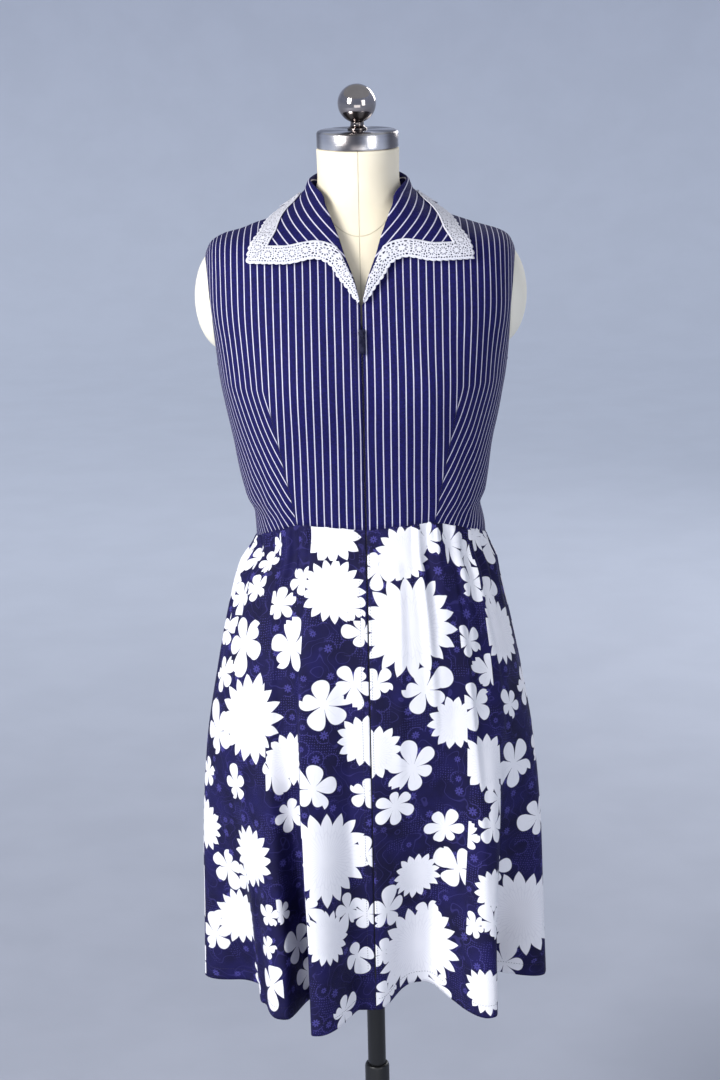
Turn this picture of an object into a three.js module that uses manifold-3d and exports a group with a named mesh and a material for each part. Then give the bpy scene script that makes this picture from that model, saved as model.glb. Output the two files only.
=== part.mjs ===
// Sleeveless zip-front day dress with a lace-edged collar, on a limbless dress form and its stand.
// Millimetres, +Z up. The front faces -Y and +X is the wearer's left. The origin is the middle of
// the base's underside, on the pole's axis. Angles go round the pole from the front towards +X.
import * as THREE from 'three';
import Module from 'manifold-3d';
import { mergeVertices } from 'three/addons/utils/BufferGeometryUtils.js';

const wasm = await Module();
wasm.setup();

// ---- Driving dimensions ----

const clothWall = 1.3;
const seamGap = 0.3; // clear space between two pieces that meet
const hemHeight = 486;
const zipFoot = 545; // the zip's lower stop
const belowZip = 15; // the fronts still part this far below the lower stop
const zipHeadHeight = 1297;
const zipHalfOpening = 1.3; // from the centre line to each front's edge beside the zip
const closedHalfGap = 0.2; // the same below the zip, where the fronts are sewn together
const tapeWidth = 12;
const tapeWall = 0.9;
const tapeStandOff = 1.6; // the tape hangs this far behind the fronts, between its stitched edges
const tapeStart = 1.4; // from the centre line to the tape's inner edge
const tapeBelowNeck = 3;
const coilWidth = 2;
const coilDepth = 0.4; // behind the fronts' face
const coilWall = 1.3;
const coilBelowSlider = 7;
const crownWidth = 1.6; // the slider's loop that holds the pull tab
const laceWall = 0.9;
const laceStandOff = 1; // above the collar's leaf, beyond the seam gap
const seamStep = 9; // degrees between the waist seam's points

const torsoFoot = 790;
const torsoTop = 1486.6;
const capHeight = 19;
const capRadius = 45.5;
const ballRadius = 21.3;
const ballCentre = 1535;
const stemRadius = 7.5;
const collarRadius = 11; // the small collar under the ball's stem

const mastRadius = 11;
const boreClearance = 0.5;
const mastFoot = 160;
const sleeveRadius = 15;
const sleeveTop = 364;
const baseRadius = 190;
const baseHeight = 24;
const socketFoot = 745;
const socketRadius = 20;
const socketCollar = 23;
const flangeFoot = 782;
const flangeRadius = 60;
const screwBelowTop = 30; // from the sleeve's top down to the lock screw
const shankRadius = 4;
const knobRadius = 12;

// Shoulder plates, let into the torso's sides
const plateCentre = { x: 150, z: 1322 };
const plateHalf = { x: 37, y: 43, z: 60 };

// How finely each piece is cut into facets
const grids = {
  bodiceFront: [10, 16],
  bodiceBack: [20, 18],
  skirtRows: 11,
  frontColumns: 20,
  backColumns: 40,
  collarColumns: 56,
  zipRows: 18,
  torsoColumns: 40,
  turned: 32,
};

// Sections of the dress: height, half width, depth in front of the pole, depth behind it, and
// squareness, where 2 is an ellipse
const dressSections = [
  [484, 209, 100, 132, 2.0],
  [576, 206, 106, 136, 2.0],
  [680, 203, 116, 138, 2.0],
  [783, 195, 123, 136, 2.05],
  [880, 179, 125, 128, 2.1],
  [960, 161, 121, 112, 2.15],
  [1010, 146, 114, 95, 2.2],
  [1045, 126, 105, 80, 2.3],
  [1077, 127, 103, 77, 2.35],
  [1100, 137, 106, 78, 2.4],
  [1165, 149, 117, 85, 2.45],
  [1205, 157, 127, 91, 2.5],
  [1235, 162, 131, 95, 2.6],
  [1265, 165, 126, 98, 2.7],
  [1300, 169, 115, 101, 2.8],
  [1340, 173, 101, 102, 2.8],
  [1370, 174, 89, 99, 2.7],
  [1384, 168, 82, 95, 2.6],
  [1391, 156, 78, 91, 2.5],
  [1399, 130, 74, 86, 2.4],
  [1409, 103, 70, 79, 2.3],
  [1418, 84, 66, 72, 2.2],
  [1428, 67, 60, 64, 2.1],
  [1438, 55, 54, 56, 2.0],
  [1470, 46, 46, 47, 2.0],
];

// Sections of the dress form, in the same order
const formSections = [
  [790, 160, 98, 104, 2.1],
  [860, 162, 104, 108, 2.1],
  [950, 147, 103, 94, 2.15],
  [1005, 130, 97, 80, 2.2],
  [1060, 114, 88, 66, 2.25],
  [1100, 119, 92, 68, 2.3],
  [1165, 136, 105, 77, 2.4],
  [1235, 151, 119, 88, 2.5],
  [1300, 159, 105, 95, 2.6],
  [1345, 162, 90, 95, 2.6],
  [1372, 155, 76, 86, 2.5],
  [1384, 140, 70, 80, 2.4],
  [1394, 117, 66, 75, 2.3],
  [1405, 92, 63, 71, 2.2],
  [1416, 72, 57, 62, 2.1],
  [1430, 52, 49, 51, 2.0],
  [1455, 45.5, 45, 45.5, 2.0],
  [1487, 46, 45, 45, 2.0],
];

// Height of the waist seam, by angle from the front
const waistSeam = [[0, 1076], [36, 1080], [62, 1064], [90, 1046], [180, 1049]];

// Folds of the skirt: where each one runs, how far it stands out of the hem (or into it), how far
// it spreads on either side, how high it dies out, and how much it lifts the hem
const skirtFolds = [
  { at: -72, out: -44, right: 20, left: 12, top: 880, lift: 0 },
  { at: -51, out: 34, right: 9, left: 10, top: 900, lift: 0 },
  { at: -30, out: 60, right: 8.5, left: 19, top: 1070, lift: -3 },
  { at: 32, out: -40, right: 30, left: 17, top: 940, lift: 15 },
  { at: 55, out: 42, right: 9, left: 8, top: 860, lift: -3 },
  { at: 69, out: -56, right: 8, left: 17, top: 900, lift: 3 },
  { at: 112, out: -22, right: 16, left: 14, top: 900, lift: 0 },
  { at: 131, out: 20, right: 13, left: 12, top: 960, lift: 0 },
  { at: 150, out: -26, right: 12, left: 14, top: 940, lift: 6 },
  { at: 171, out: 24, right: 15, left: 14, top: 1010, lift: 0 },
  { at: 196, out: -26, right: 14, left: 13, top: 930, lift: 6 },
  { at: 216, out: 24, right: 12, left: 14, top: 960, lift: 0 },
  { at: 240, out: -24, right: 14, left: 16, top: 900, lift: 0 },
];

// Armhole of one front, from the underarm to the shoulder tip: angle and height
const frontArmhole = [
  [90, 1244], [83, 1252], [78, 1274], [76, 1310], [78, 1346], [83, 1372], [90, 1385],
];
const backArmhole = [
  [90, 1244], [98, 1252], [104, 1276], [106, 1310], [104, 1346], [98, 1372], [90, 1385],
];

// Stations of the collar from the V to the nape: roll line (angle, height), outer edge (angle,
// height), the share of the way from roll to edge where the neck seam lies under it, and the share
// where the lace starts
const collarStations = [
  [0.9, 1332, 1.7, 1330, 0.5, 0.05],
  [3.5, 1350, 8.2, 1346, 0.5, 0.1],
  [6.2, 1362, 13.3, 1356, 0.45, 0.15],
  [12.2, 1382, 20.6, 1371, 0.4, 0.22],
  [18, 1400, 30, 1376, 0.32, 0.32],
  [23, 1412, 44, 1371, 0.26, 0.48],
  [27.3, 1420, 58, 1371, 0.25, 0.68],
  [35.8, 1430, 63, 1396, 0.3, 0.66],
  [46, 1441, 79.5, 1414, 0.36, 0.6],
  [60, 1447, 90, 1422, 0.4, 0.56],
  [79, 1451, 103.4, 1417, 0.45, 0.56],
  [104, 1453, 124, 1411, 0.45, 0.6],
  [130, 1456, 143, 1407, 0.45, 0.62],
  [155, 1457, 161, 1405, 0.45, 0.62],
  [180, 1457, 180, 1404, 0.45, 0.62],
];
const neckPointStation = 10; // the collar station over the shoulder seam

// ---- Curves through a few given points ----

// Smooth interpolation through rows that start with their own position, with no overshoot
function along(rows, position, column = 1) {
  const last = rows.length - 1;
  if (position <= rows[0][0]) return rows[0][column];
  if (position >= rows[last][0]) return rows[last][column];
  const i = rows.findIndex((row) => row[0] > position) - 1;
  const slope = (k) => (rows[k + 1][column] - rows[k][column]) / (rows[k + 1][0] - rows[k][0]);
  const tangent = (k) => {
    if (k === 0) return slope(0);
    if (k === last) return slope(last - 1);
    const before = slope(k - 1);
    const after = slope(k);
    return before * after <= 0 ? 0 : (2 * before * after) / (before + after);
  };
  const span = rows[i + 1][0] - rows[i][0];
  const t = (position - rows[i][0]) / span;
  const blend = t * t * (3 - 2 * t);
  return rows[i][column] * (1 - blend) + rows[i + 1][column] * blend
    + span * (t * (1 - t) ** 2 * tangent(i) - t * t * (1 - t) * tangent(i + 1));
}

// Straight-line interpolation of every column of a list of stations
function stationAt(stations, s) {
  const i = Math.min(Math.floor(s), stations.length - 2);
  return stations[i].map((value, k) => value + (stations[i + 1][k] - value) * (s - i));
}

function curveThrough(points) {
  const places = points.map(([angle, z]) => new THREE.Vector3(angle, z, 0));
  return new THREE.CatmullRomCurve3(places, false, 'centripetal');
}

// ---- Surfaces ----

const bust = { rise: 7, apart: 78, height: 1232, spreadX: 42, spreadZ: 52 };
const waistSlack = { shift: 12, height: 1046, spread: 36 };

// Point of a body of given sections at an angle in degrees and a height
function sectionPoint(sections, angle, z) {
  const phi = THREE.MathUtils.degToRad(angle);
  const square = along(sections, z, 4);
  const across = Math.abs(Math.sin(phi)) / along(sections, z, 1);
  const depth = Math.abs(Math.cos(phi)) / along(sections, z, Math.cos(phi) > 0 ? 2 : 3);
  const r = (across ** square + depth ** square) ** (-1 / square);
  const point = new THREE.Vector3(r * Math.sin(phi), -r * Math.cos(phi), z);
  if (Math.cos(phi) > 0) {
    const side = (Math.abs(point.x) - bust.apart) / bust.spreadX;
    point.y -= bust.rise * Math.cos(phi) * Math.exp(-side * side - ((z - bust.height) / bust.spreadZ) ** 2);
  }
  return point;
}

const formPoint = (angle, z) => sectionPoint(formSections, angle, z);

// The bodice hangs a little slack at the wearer's left of the waist
function bodicePoint(angle, z) {
  const point = sectionPoint(dressSections, angle, z);
  const towardsSide = Math.max(0, point.x) / along(dressSections, z);
  const nearWaist = Math.exp(-(((z - waistSlack.height) / waistSlack.spread) ** 2));
  point.x += waistSlack.shift * towardsSide ** 3 * nearWaist;
  return point;
}

// Outward direction of a surface at an angle and height
function outward(surface, angle, z) {
  const step = 0.4;
  const around = surface(angle + step, z).sub(surface(angle - step, z));
  const up = surface(angle, z + step).sub(surface(angle, z - step));
  return around.cross(up).normalize();
}

// How far a fold reaches at an angle: 1 on its line, 0 past its edges
function foldShare(fold, angle) {
  const away = ((angle - fold.at + 540) % 360) - 180;
  const reach = away / (away < 0 ? fold.right : fold.left);
  return Math.abs(reach) >= 1 ? 0 : 0.5 + 0.5 * Math.cos(Math.PI * Math.abs(reach) ** 1.4);
}

// The skirt: the dress's section, with folds that grow towards the hem
function skirtPoint(angle, z) {
  const point = bodicePoint(angle, z);
  const direction = outward(bodicePoint, angle, z).setZ(0).normalize();
  let out = 0;
  for (const fold of skirtFolds) {
    const drop = Math.max(0, (fold.top - z) / (fold.top - hemHeight));
    out += fold.out * foldShare(fold, angle) * drop ** 1.5;
  }
  return point.addScaledVector(direction, out);
}

const hemAt = (angle) => skirtFolds.reduce((z, fold) => z + fold.lift * foldShare(fold, angle), hemHeight);

// The waist seam runs straight between the columns of points that bodice and skirt share
function waistAt(angle) {
  const around = Math.abs(((angle + 540) % 360) - 180);
  const knot = Math.floor(around / seamStep) * seamStep;
  const share = (around - knot) / seamStep;
  return THREE.MathUtils.lerp(along(waistSeam, knot), along(waistSeam, knot + seamStep), share);
}

// ---- Meshes ----

const meshes = [];

function mesh(name, geometry, colour, roughness, metalness) {
  const material = new THREE.MeshStandardMaterial({ color: colour, roughness, metalness });
  const made = new THREE.Mesh(geometry, material);
  made.name = name;
  meshes.push(made);
  return made;
}

// Closed body from a grid of outer points and their directions, rows[j][i], with i running
// anticlockwise seen from above and j upwards
function wall(rows, thickness) {
  const across = rows[0].length;
  const positions = [];
  const places = rows.flat();
  places.forEach(({ point }) => positions.push(...point.toArray()));
  places.forEach(({ point, normal }) => {
    positions.push(...point.clone().addScaledVector(normal, -thickness).toArray());
  });
  const inner = rows.length * across;
  const at = (i, j) => j * across + i;
  const triangles = [];
  for (let j = 0; j < rows.length - 1; j += 1) {
    for (let i = 0; i < across - 1; i += 1) {
      const [a, b, c, d] = [at(i, j), at(i + 1, j), at(i + 1, j + 1), at(i, j + 1)];
      triangles.push(a, b, c, a, c, d);
      triangles.push(a + inner, c + inner, b + inner, a + inner, d + inner, c + inner);
    }
  }
  const top = rows.length - 1;
  const end = across - 1;
  const upTo = (count) => Array.from({ length: count }, (_, k) => k);
  const rim = [
    ...upTo(end).map((i) => at(i, 0)),
    ...upTo(top).map((j) => at(end, j)),
    ...upTo(end).map((i) => at(end - i, top)),
    ...upTo(top).map((j) => at(0, top - j)),
  ];
  rim.forEach((p, k) => {
    const q = rim[(k + 1) % rim.length];
    triangles.push(p + inner, q + inner, q, p + inner, q, p);
  });
  const geometry = new THREE.BufferGeometry();
  geometry.setAttribute('position', new THREE.Float32BufferAttribute(positions, 3));
  geometry.setIndex(triangles);
  return geometry;
}

// Grid over a surface, with angle and height given at each (u, v) from 0 to 1
function surfaceGrid(surface, place, columns, rows, offset = 0) {
  const grid = [];
  for (let j = 0; j <= rows; j += 1) {
    const row = [];
    for (let i = 0; i <= columns; i += 1) {
      const [angle, z] = place(i / columns, j / rows);
      const normal = outward(surface, angle, z);
      row.push({ point: surface(angle, z).addScaledVector(normal, offset), normal });
    }
    grid.push(row);
  }
  return grid;
}

// Patch between four edges, each giving [angle, height]
function patch(left, right, bottom, top) {
  return (u, v) => [0, 1].map((k) => (1 - v) * bottom(u)[k] + v * top(u)[k] + (1 - u) * left(v)[k]
    + u * right(v)[k] - (1 - u) * (1 - v) * left(0)[k] - u * (1 - v) * right(0)[k]
    - (1 - u) * v * left(1)[k] - u * v * right(1)[k]);
}

function joined(geometries) {
  const solids = geometries.map((geometry) => {
    const bare = geometry.clone();
    bare.deleteAttribute('normal');
    bare.deleteAttribute('uv');
    const merged = mergeVertices(bare, 1e-4);
    return new wasm.Manifold(new wasm.Mesh({
      numProp: 3,
      vertProperties: new Float32Array(merged.attributes.position.array),
      triVerts: new Uint32Array(merged.index.array),
    }));
  });
  const whole = solids.reduce((sum, solid) => sum.add(solid)).getMesh();
  const geometry = new THREE.BufferGeometry();
  geometry.setAttribute('position', new THREE.Float32BufferAttribute(whole.vertProperties, 3));
  geometry.setIndex([...whole.triVerts]);
  return geometry;
}

// Turned piece about the pole's axis from [radius, height] points
function turned(profile, segments) {
  const geometry = new THREE.LatheGeometry(profile.map(([r, z]) => new THREE.Vector2(r, z)), segments);
  return geometry.rotateX(Math.PI / 2);
}

const navy = 0x201f52;
const printNavy = 0x24225e;
const laceWhite = 0xf2f2f4;
const ivory = 0xe9e2cc;
const black = 0x0c0c0e;

// ---- Bodice ----

const kneeRow = 0.5625; // share of a front's height where V and underarm lie
const angleOff = (millimetres, angle, z) => THREE.MathUtils.radToDeg(
  millimetres / Math.hypot(bodicePoint(angle, z).x, bodicePoint(angle, z).y));

// Neck seam under the collar at a station, moved down by the seam's gap
function neckSeam(s) {
  const [rollAngle, rollZ, edgeAngle, edgeZ, seam] = stationAt(collarStations, s);
  return [rollAngle + (edgeAngle - rollAngle) * seam, rollZ + (edgeZ - rollZ) * seam - seamGap];
}

function bodiceFront(side) {
  const [columns, rows] = grids.bodiceFront;
  const vHeight = neckSeam(0)[1];
  const armhole = curveThrough(frontArmhole);
  const centreFront = (v) => {
    if (v > kneeRow) return neckSeam(((v - kneeRow) / (1 - kneeRow)) * neckPointStation);
    const z = THREE.MathUtils.lerp(waistAt(0) + seamGap, vHeight, v / kneeRow);
    return [angleOff(zipHalfOpening, 0, z), z];
  };
  const sideEdge = (v) => {
    if (v > kneeRow) {
      const { x, y } = armhole.getPoint((v - kneeRow) / (1 - kneeRow));
      return [x, y];
    }
    return [90, THREE.MathUtils.lerp(waistAt(90) + seamGap, frontArmhole[0][1], v / kneeRow)];
  };
  const waist = (u) => {
    const angle = THREE.MathUtils.lerp(centreFront(0)[0], 90, u);
    return [angle, waistAt(angle) + seamGap];
  };
  const shoulder = (u) => [90, THREE.MathUtils.lerp(centreFront(1)[1], sideEdge(1)[1], u)];
  const place = patch(centreFront, sideEdge, waist, shoulder);
  const trimmed = (u, v) => {
    const [angle, z] = place(side > 0 ? u : 1 - u, v);
    return [side * Math.min(angle, 90 - angleOff(seamGap / 2, 90, z)), z];
  };
  const name = side > 0 ? 'bodice_front_left' : 'bodice_front_right';
  mesh(name, wall(surfaceGrid(bodicePoint, trimmed, columns, rows), clothWall), navy, 0.85, 0);
}

function bodiceBack() {
  const [columns, rows] = grids.bodiceBack;
  const underarmRow = 7 / rows;
  const shoulderRow = 13 / rows;
  const armhole = curveThrough(backArmhole);
  const neckPoint = neckSeam(neckPointStation);
  // Up the side seam, round the armhole and along the shoulder to the neck
  const sideEdge = (v) => {
    if (v > shoulderRow) {
      const share = (v - shoulderRow) / (1 - shoulderRow);
      return [90, THREE.MathUtils.lerp(backArmhole.at(-1)[1], neckPoint[1], share)];
    }
    if (v > underarmRow) {
      const { x, y } = armhole.getPoint((v - underarmRow) / (shoulderRow - underarmRow));
      return [x, y];
    }
    return [90, THREE.MathUtils.lerp(waistAt(90) + seamGap, backArmhole[0][1], v / underarmRow)];
  };
  const mirrored = (v) => [360 - sideEdge(v)[0], sideEdge(v)[1]];
  const waist = (u) => [90 + 180 * u, waistAt(90 + 180 * u) + seamGap];
  const nape = collarStations.length - 1;
  const neckline = (u) => {
    const share = 1 - Math.abs(2 * u - 1);
    const [angle, z] = neckSeam(THREE.MathUtils.lerp(neckPointStation, nape, share));
    return [u < 0.5 ? angle : 360 - angle, z];
  };
  const place = patch(sideEdge, mirrored, waist, neckline);
  const trimmed = (u, v) => {
    const [angle, z] = place(u, v);
    const trim = angleOff(seamGap / 2, 90, z);
    return [THREE.MathUtils.clamp(angle, 90 + trim, 270 - trim), z];
  };
  const grid = surfaceGrid(bodicePoint, trimmed, columns, rows);
  mesh('bodice_back', wall(grid, clothWall), navy, 0.85, 0);
}

// ---- Skirt ----

function skirtPanel(name, from, to, columns) {
  const edge = (angle, z) => {
    const open = z > zipFoot - belowZip ? zipHalfOpening : closedHalfGap;
    const half = Math.abs(angle) < 1 ? open : seamGap / 2;
    return angleOff(half, angle, z);
  };
  const place = (u, v) => {
    const near = from + (to - from) * u;
    const z = THREE.MathUtils.lerp(hemAt(near), waistAt(near) - seamGap, v);
    return [THREE.MathUtils.lerp(from + edge(from, z), to - edge(to, z), u), z];
  };
  const grid = surfaceGrid(skirtPoint, place, columns, grids.skirtRows);
  mesh(name, wall(grid, clothWall), printNavy, 0.7, 0);
}

// ---- Collar and its lace ----

// Station over the whole collar: u = 0 at the left end of the V, 0.5 at the nape, 1 at the right end
function collarStation(u) {
  const last = collarStations.length - 1;
  const s = (1 - Math.abs(2 * u - 1)) * last;
  const [rollAngle, rollZ, edgeAngle, edgeZ, seam, lace] = stationAt(collarStations, s);
  const turn = (angle) => (u < 0.5 ? angle : 360 - angle);
  return { roll: [turn(rollAngle), rollZ], edge: [turn(edgeAngle), edgeZ], seam, lace };
}

// Height of the turned-over leaf above the bodice, by share of the way from roll to edge
const leafRise = [[0, 3.8], [0.07, 5.8], [0.35, 6.2], [0.68, 5.8], [1, 4.6]];
const collarWall = 1.2;
const insideRise = 2; // above the bodice just inside the roll
const insideShare = 0.06;
const seamRise = 1.6; // above the bodice at the neck seam
const laceOverhang = 1.03; // the lace's outer edge, as a share of the way from roll to edge

function collarPoint({ roll, edge }, share, rise) {
  const angle = THREE.MathUtils.lerp(roll[0], edge[0], share);
  const z = THREE.MathUtils.lerp(roll[1], edge[1], share);
  return bodicePoint(angle, z).addScaledVector(outward(bodicePoint, angle, z), rise);
}

// Point of the leaf's facets at a share of the way from roll to edge, or a little past it
function leafPoint(station, share) {
  const above = leafRise.findIndex(([at]) => at >= share);
  const k = above < 0 ? leafRise.length - 1 : Math.max(above, 2);
  const [inner, outer] = [leafRise[k - 1], leafRise[k]];
  const from = collarPoint(station, ...inner);
  return from.lerp(collarPoint(station, ...outer), (share - inner[0]) / (outer[0] - inner[0]));
}

// Grid of points with directions taken from their neighbours
function gridWithNormals(points) {
  const difference = (list, k) => {
    const before = list[Math.max(k - 1, 0)];
    const after = list[Math.min(k + 1, list.length - 1)];
    return after.clone().sub(before).normalize();
  };
  return points.map((row, j) => row.map((point, i) => {
    const up = difference(points.map((other) => other[i]), j);
    return { point, normal: difference(row, i).cross(up).normalize() };
  }));
}

function collar() {
  const columns = grids.collarColumns;
  // From the outer edge up over the roll, then down inside to the neck seam
  const outside = [...leafRise].reverse();
  const path = [
    ...outside.map(([share, rise]) => (station) => collarPoint(station, share, rise)),
    (station) => collarPoint(station, insideShare, insideRise),
    (station) => collarPoint(station, station.seam, seamRise),
  ];
  const rows = path.map((at) => {
    const row = [];
    for (let i = 0; i <= columns; i += 1) row.push(at(collarStation(i / columns)));
    return row;
  });
  mesh('collar', wall(gridWithNormals(rows), collarWall), navy, 0.85, 0);
}

function collarLace() {
  const columns = grids.collarColumns;
  const [innerBend, outerBend] = [leafRise[2][0], leafRise[3][0]];
  const rows = [0, 1, 2, 3].map((line) => {
    const row = [];
    for (let i = 0; i <= columns; i += 1) {
      const station = collarStation(i / columns);
      const start = station.lace;
      // The lace bends where the leaf does
      const outer = start < outerBend ? outerBend : (laceOverhang + start) / 2;
      const inner = start < innerBend ? innerBend : (outer + start) / 2;
      row.push(leafPoint(station, [laceOverhang, outer, inner, start][line]));
    }
    return row;
  });
  const lift = seamGap + laceStandOff + laceWall;
  const grid = gridWithNormals(rows);
  grid.forEach((row) => row.forEach(({ point, normal }) => point.addScaledVector(normal, lift)));
  mesh('collar_lace', wall(grid, laceWall), laceWhite, 0.9, 0);
}

// ---- Zip ----

// Height of the dress's surface on the centre line, in front of the pole
function frontSurface(angle, z) {
  return z > waistAt(0) ? bodicePoint(angle, z) : skirtPoint(angle, z);
}

function zipStrip(name, fromX, toX, foot, head, depth, thickness, colour, metalness) {
  const place = (u, v) => {
    const z = THREE.MathUtils.lerp(foot, head, v);
    return [angleOff(THREE.MathUtils.lerp(fromX, toX, u), 0, z), z];
  };
  const grid = surfaceGrid(frontSurface, place, 1, grids.zipRows, -depth);
  mesh(name, wall(grid, thickness), colour, 0.6, metalness);
}

function zip() {
  const behindCloth = clothWall + seamGap + tapeStandOff;
  const tapeHead = neckSeam(0)[1] - tapeBelowNeck;
  const tapeEnd = tapeStart + tapeWidth;
  const coilHead = zipHeadHeight - coilBelowSlider;
  zipStrip('zip_tape_left', tapeStart, tapeEnd, zipFoot, tapeHead, behindCloth, tapeWall, navy, 0);
  zipStrip('zip_tape_right', -tapeEnd, -tapeStart, zipFoot, tapeHead, behindCloth, tapeWall, navy, 0);
  zipStrip('zip_coil', -coilWidth / 2, coilWidth / 2, zipFoot, coilHead, coilDepth, coilWall, navy, 0.2);

  // Slider and pull tab are made lying in the XZ plane, with -Y out of the cloth
  const outline = (points) => {
    const shape = new THREE.Shape();
    points.forEach(([x, z], i) => (i ? shape.lineTo(x, z) : shape.moveTo(x, z)));
    return shape;
  };
  const plate = (shape, nearY, farY) => {
    const depth = farY - nearY;
    const solid = new THREE.ExtrudeGeometry(shape, { depth, bevelEnabled: false });
    return solid.rotateX(Math.PI / 2).translate(0, farY, 0);
  };
  const body = [[-3, -6], [3, -6], [3.6, -2], [4.2, 3], [3, 6], [-3, 6], [-4.2, 3], [-3.6, -2]];
  const frontPlate = plate(outline(body), -2.7, -0.5);
  const backPlate = plate(outline(body), 4.3, 5.3);
  const bridge = new THREE.BoxGeometry(1.8, 7, 3).translate(0, 1.3, 4);
  const crownSide = [
    [-2.4, -3.6], [-5.2, -3.6], [-6.3, -2.4], [-6.3, 2.4], [-5.2, 3.6],
    [-2.4, 3.6], [-2.4, 2.3], [-5, 2.3], [-5, -2.3], [-2.4, -2.3],
  ];
  const crown = new THREE.ExtrudeGeometry(outline(crownSide), { depth: crownWidth, bevelEnabled: false });
  crown.translate(0, 0, -crownWidth / 2);
  const sideways = new THREE.Matrix4().makeBasis(
    new THREE.Vector3(0, 1, 0), new THREE.Vector3(0, 0, 1), new THREE.Vector3(1, 0, 0));
  crown.applyMatrix4(sideways);
  const slider = mesh('zip_slider', joined([frontPlate, backPlate, bridge, crown]), 0x8d9096, 0.35, 1);

  const tab = outline([
    [-3, 0.65], [3, 0.65], [3.4, -1], [3.4, -12], [2.4, -20],
    [1.4, -21.5], [-1.4, -21.5], [-2.4, -20], [-3.4, -12], [-3.4, -1],
  ]);
  tab.holes.push(outline([[-1.8, -0.65], [-1.8, -5], [1.8, -5], [1.8, -0.65]]));
  const pull = mesh('zip_pull', plate(tab, -4.5, -3.3), 0x8d9096, 0.35, 1);

  const headPoint = bodicePoint(0, zipHeadHeight);
  const lean = outward(bodicePoint, 0, zipHeadHeight);
  for (const piece of [slider, pull]) {
    piece.position.copy(headPoint);
    piece.rotation.x = Math.atan2(-lean.z, -lean.y);
  }
}

// ---- Dress form and stand ----

function torso() {
  const around = grids.torsoColumns;
  const heights = [
    torsoFoot, 815, 860, 905, 950, 985, 1020, 1050, 1080, 1115, 1155, 1195, 1225,
    1255, 1290, 1325, 1355, 1372, 1384, 1394, 1405, 1416, 1430, 1455, torsoTop,
  ];
  const positions = [];
  for (const z of heights) {
    for (let i = 0; i < around; i += 1) {
      positions.push(...formPoint((i * 360) / around, z).toArray());
    }
  }
  const footMiddle = positions.length / 3;
  const topMiddle = footMiddle + 1;
  positions.push(0, 0, torsoFoot, 0, 0, torsoTop);
  const triangles = [];
  const topRow = (heights.length - 1) * around;
  for (let i = 0; i < around; i += 1) {
    const next = (i + 1) % around;
    triangles.push(footMiddle, next, i, topMiddle, topRow + i, topRow + next);
    for (let j = 0; j < heights.length - 1; j += 1) {
      const lower = j * around;
      const upper = lower + around;
      triangles.push(lower + i, lower + next, upper + next, lower + i, upper + next, upper + i);
    }
  }
  const body = new THREE.BufferGeometry();
  body.setAttribute('position', new THREE.Float32BufferAttribute(positions, 3));
  body.setIndex(triangles);
  const plates = [-1, 1].map((side) => {
    const plate = new THREE.SphereGeometry(1, 24, 16).rotateX(Math.PI / 2);
    plate.scale(plateHalf.x, plateHalf.y, plateHalf.z);
    return plate.translate(side * plateCentre.x, 0, plateCentre.z);
  });
  mesh('form_torso', joined([body, ...plates]), ivory, 0.9, 0);
}

function capAndFinial() {
  const foot = torsoTop + seamGap;
  const top = foot + capHeight;
  const cap = [
    [0, foot], [capRadius - 1, foot], [capRadius, foot + 1], [capRadius, top - 3],
    [capRadius - 1, top - 1], [capRadius - 3.5, top], [0, top],
  ];
  mesh('neck_cap', turned(cap, grids.turned), 0xc9c9cc, 0.15, 1);

  const start = top + seamGap;
  const finial = [
    [0, start], [collarRadius, start], [collarRadius, start + 2],
    [stemRadius + 1, start + 3.5], [stemRadius, start + 5],
  ];
  const steps = 10;
  const low = Math.asin(stemRadius / ballRadius);
  for (let i = 0; i < steps; i += 1) {
    const angle = low + (Math.PI - low) * (i / steps);
    finial.push([ballRadius * Math.sin(angle), ballCentre - ballRadius * Math.cos(angle)]);
  }
  finial.push([0, ballCentre + ballRadius]);
  mesh('finial', turned(finial, 24), 0xd5d5d8, 0.1, 1);
}

function stand() {
  const bore = mastRadius + boreClearance;
  const socketTop = torsoFoot - seamGap;
  const socket = [
    [bore, socketFoot], [socketRadius, socketFoot], [socketCollar, socketFoot + 3],
    [socketCollar, flangeFoot - 7], [flangeRadius, flangeFoot], [flangeRadius, socketTop],
    [bore, socketTop], [bore, socketFoot],
  ];
  mesh('form_socket', turned(socket, grids.turned), black, 0.4, 0.6);

  const mast = [
    [0, mastFoot], [mastRadius - 1, mastFoot], [mastRadius, mastFoot + 1],
    [mastRadius, socketTop], [0, socketTop],
  ];
  mesh('mast', turned(mast, grids.turned), black, 0.35, 0.6);

  const sleeveFoot = baseHeight + seamGap;
  const sleeve = [
    [bore, sleeveFoot], [sleeveRadius, sleeveFoot], [sleeveRadius, sleeveTop - 4],
    [sleeveRadius - 1, sleeveTop - 1], [sleeveRadius - 2.5, sleeveTop],
    [bore, sleeveTop], [bore, sleeveFoot],
  ];
  mesh('lower_sleeve', turned(sleeve, grids.turned), black, 0.4, 0.5);

  const base = [
    [0, 0], [baseRadius, 0], [baseRadius, 6], [baseRadius - 5, 10],
    [70, 17], [30, baseHeight - 2], [27, baseHeight], [0, baseHeight],
  ];
  mesh('base', turned(base, 40), black, 0.45, 0.5);

  // Lock screw behind the sleeve, with a round knob
  const shankStart = sleeveRadius + seamGap;
  const knobStart = shankStart + 9;
  const knobEnd = knobStart + 13;
  const screw = [
    [0, shankStart], [shankRadius, shankStart], [shankRadius, knobStart],
    [knobRadius - 1, knobStart + 1], [knobRadius, knobStart + 3], [knobRadius, knobEnd - 2],
    [knobRadius - 2, knobEnd], [0, knobEnd],
  ];
  const lockScrew = turned(screw, 20).rotateX(-Math.PI / 2);
  mesh('lock_screw', lockScrew.translate(0, 0, sleeveTop - screwBelowTop), black, 0.5, 0.1);
}

// ---- The whole object ----

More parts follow.
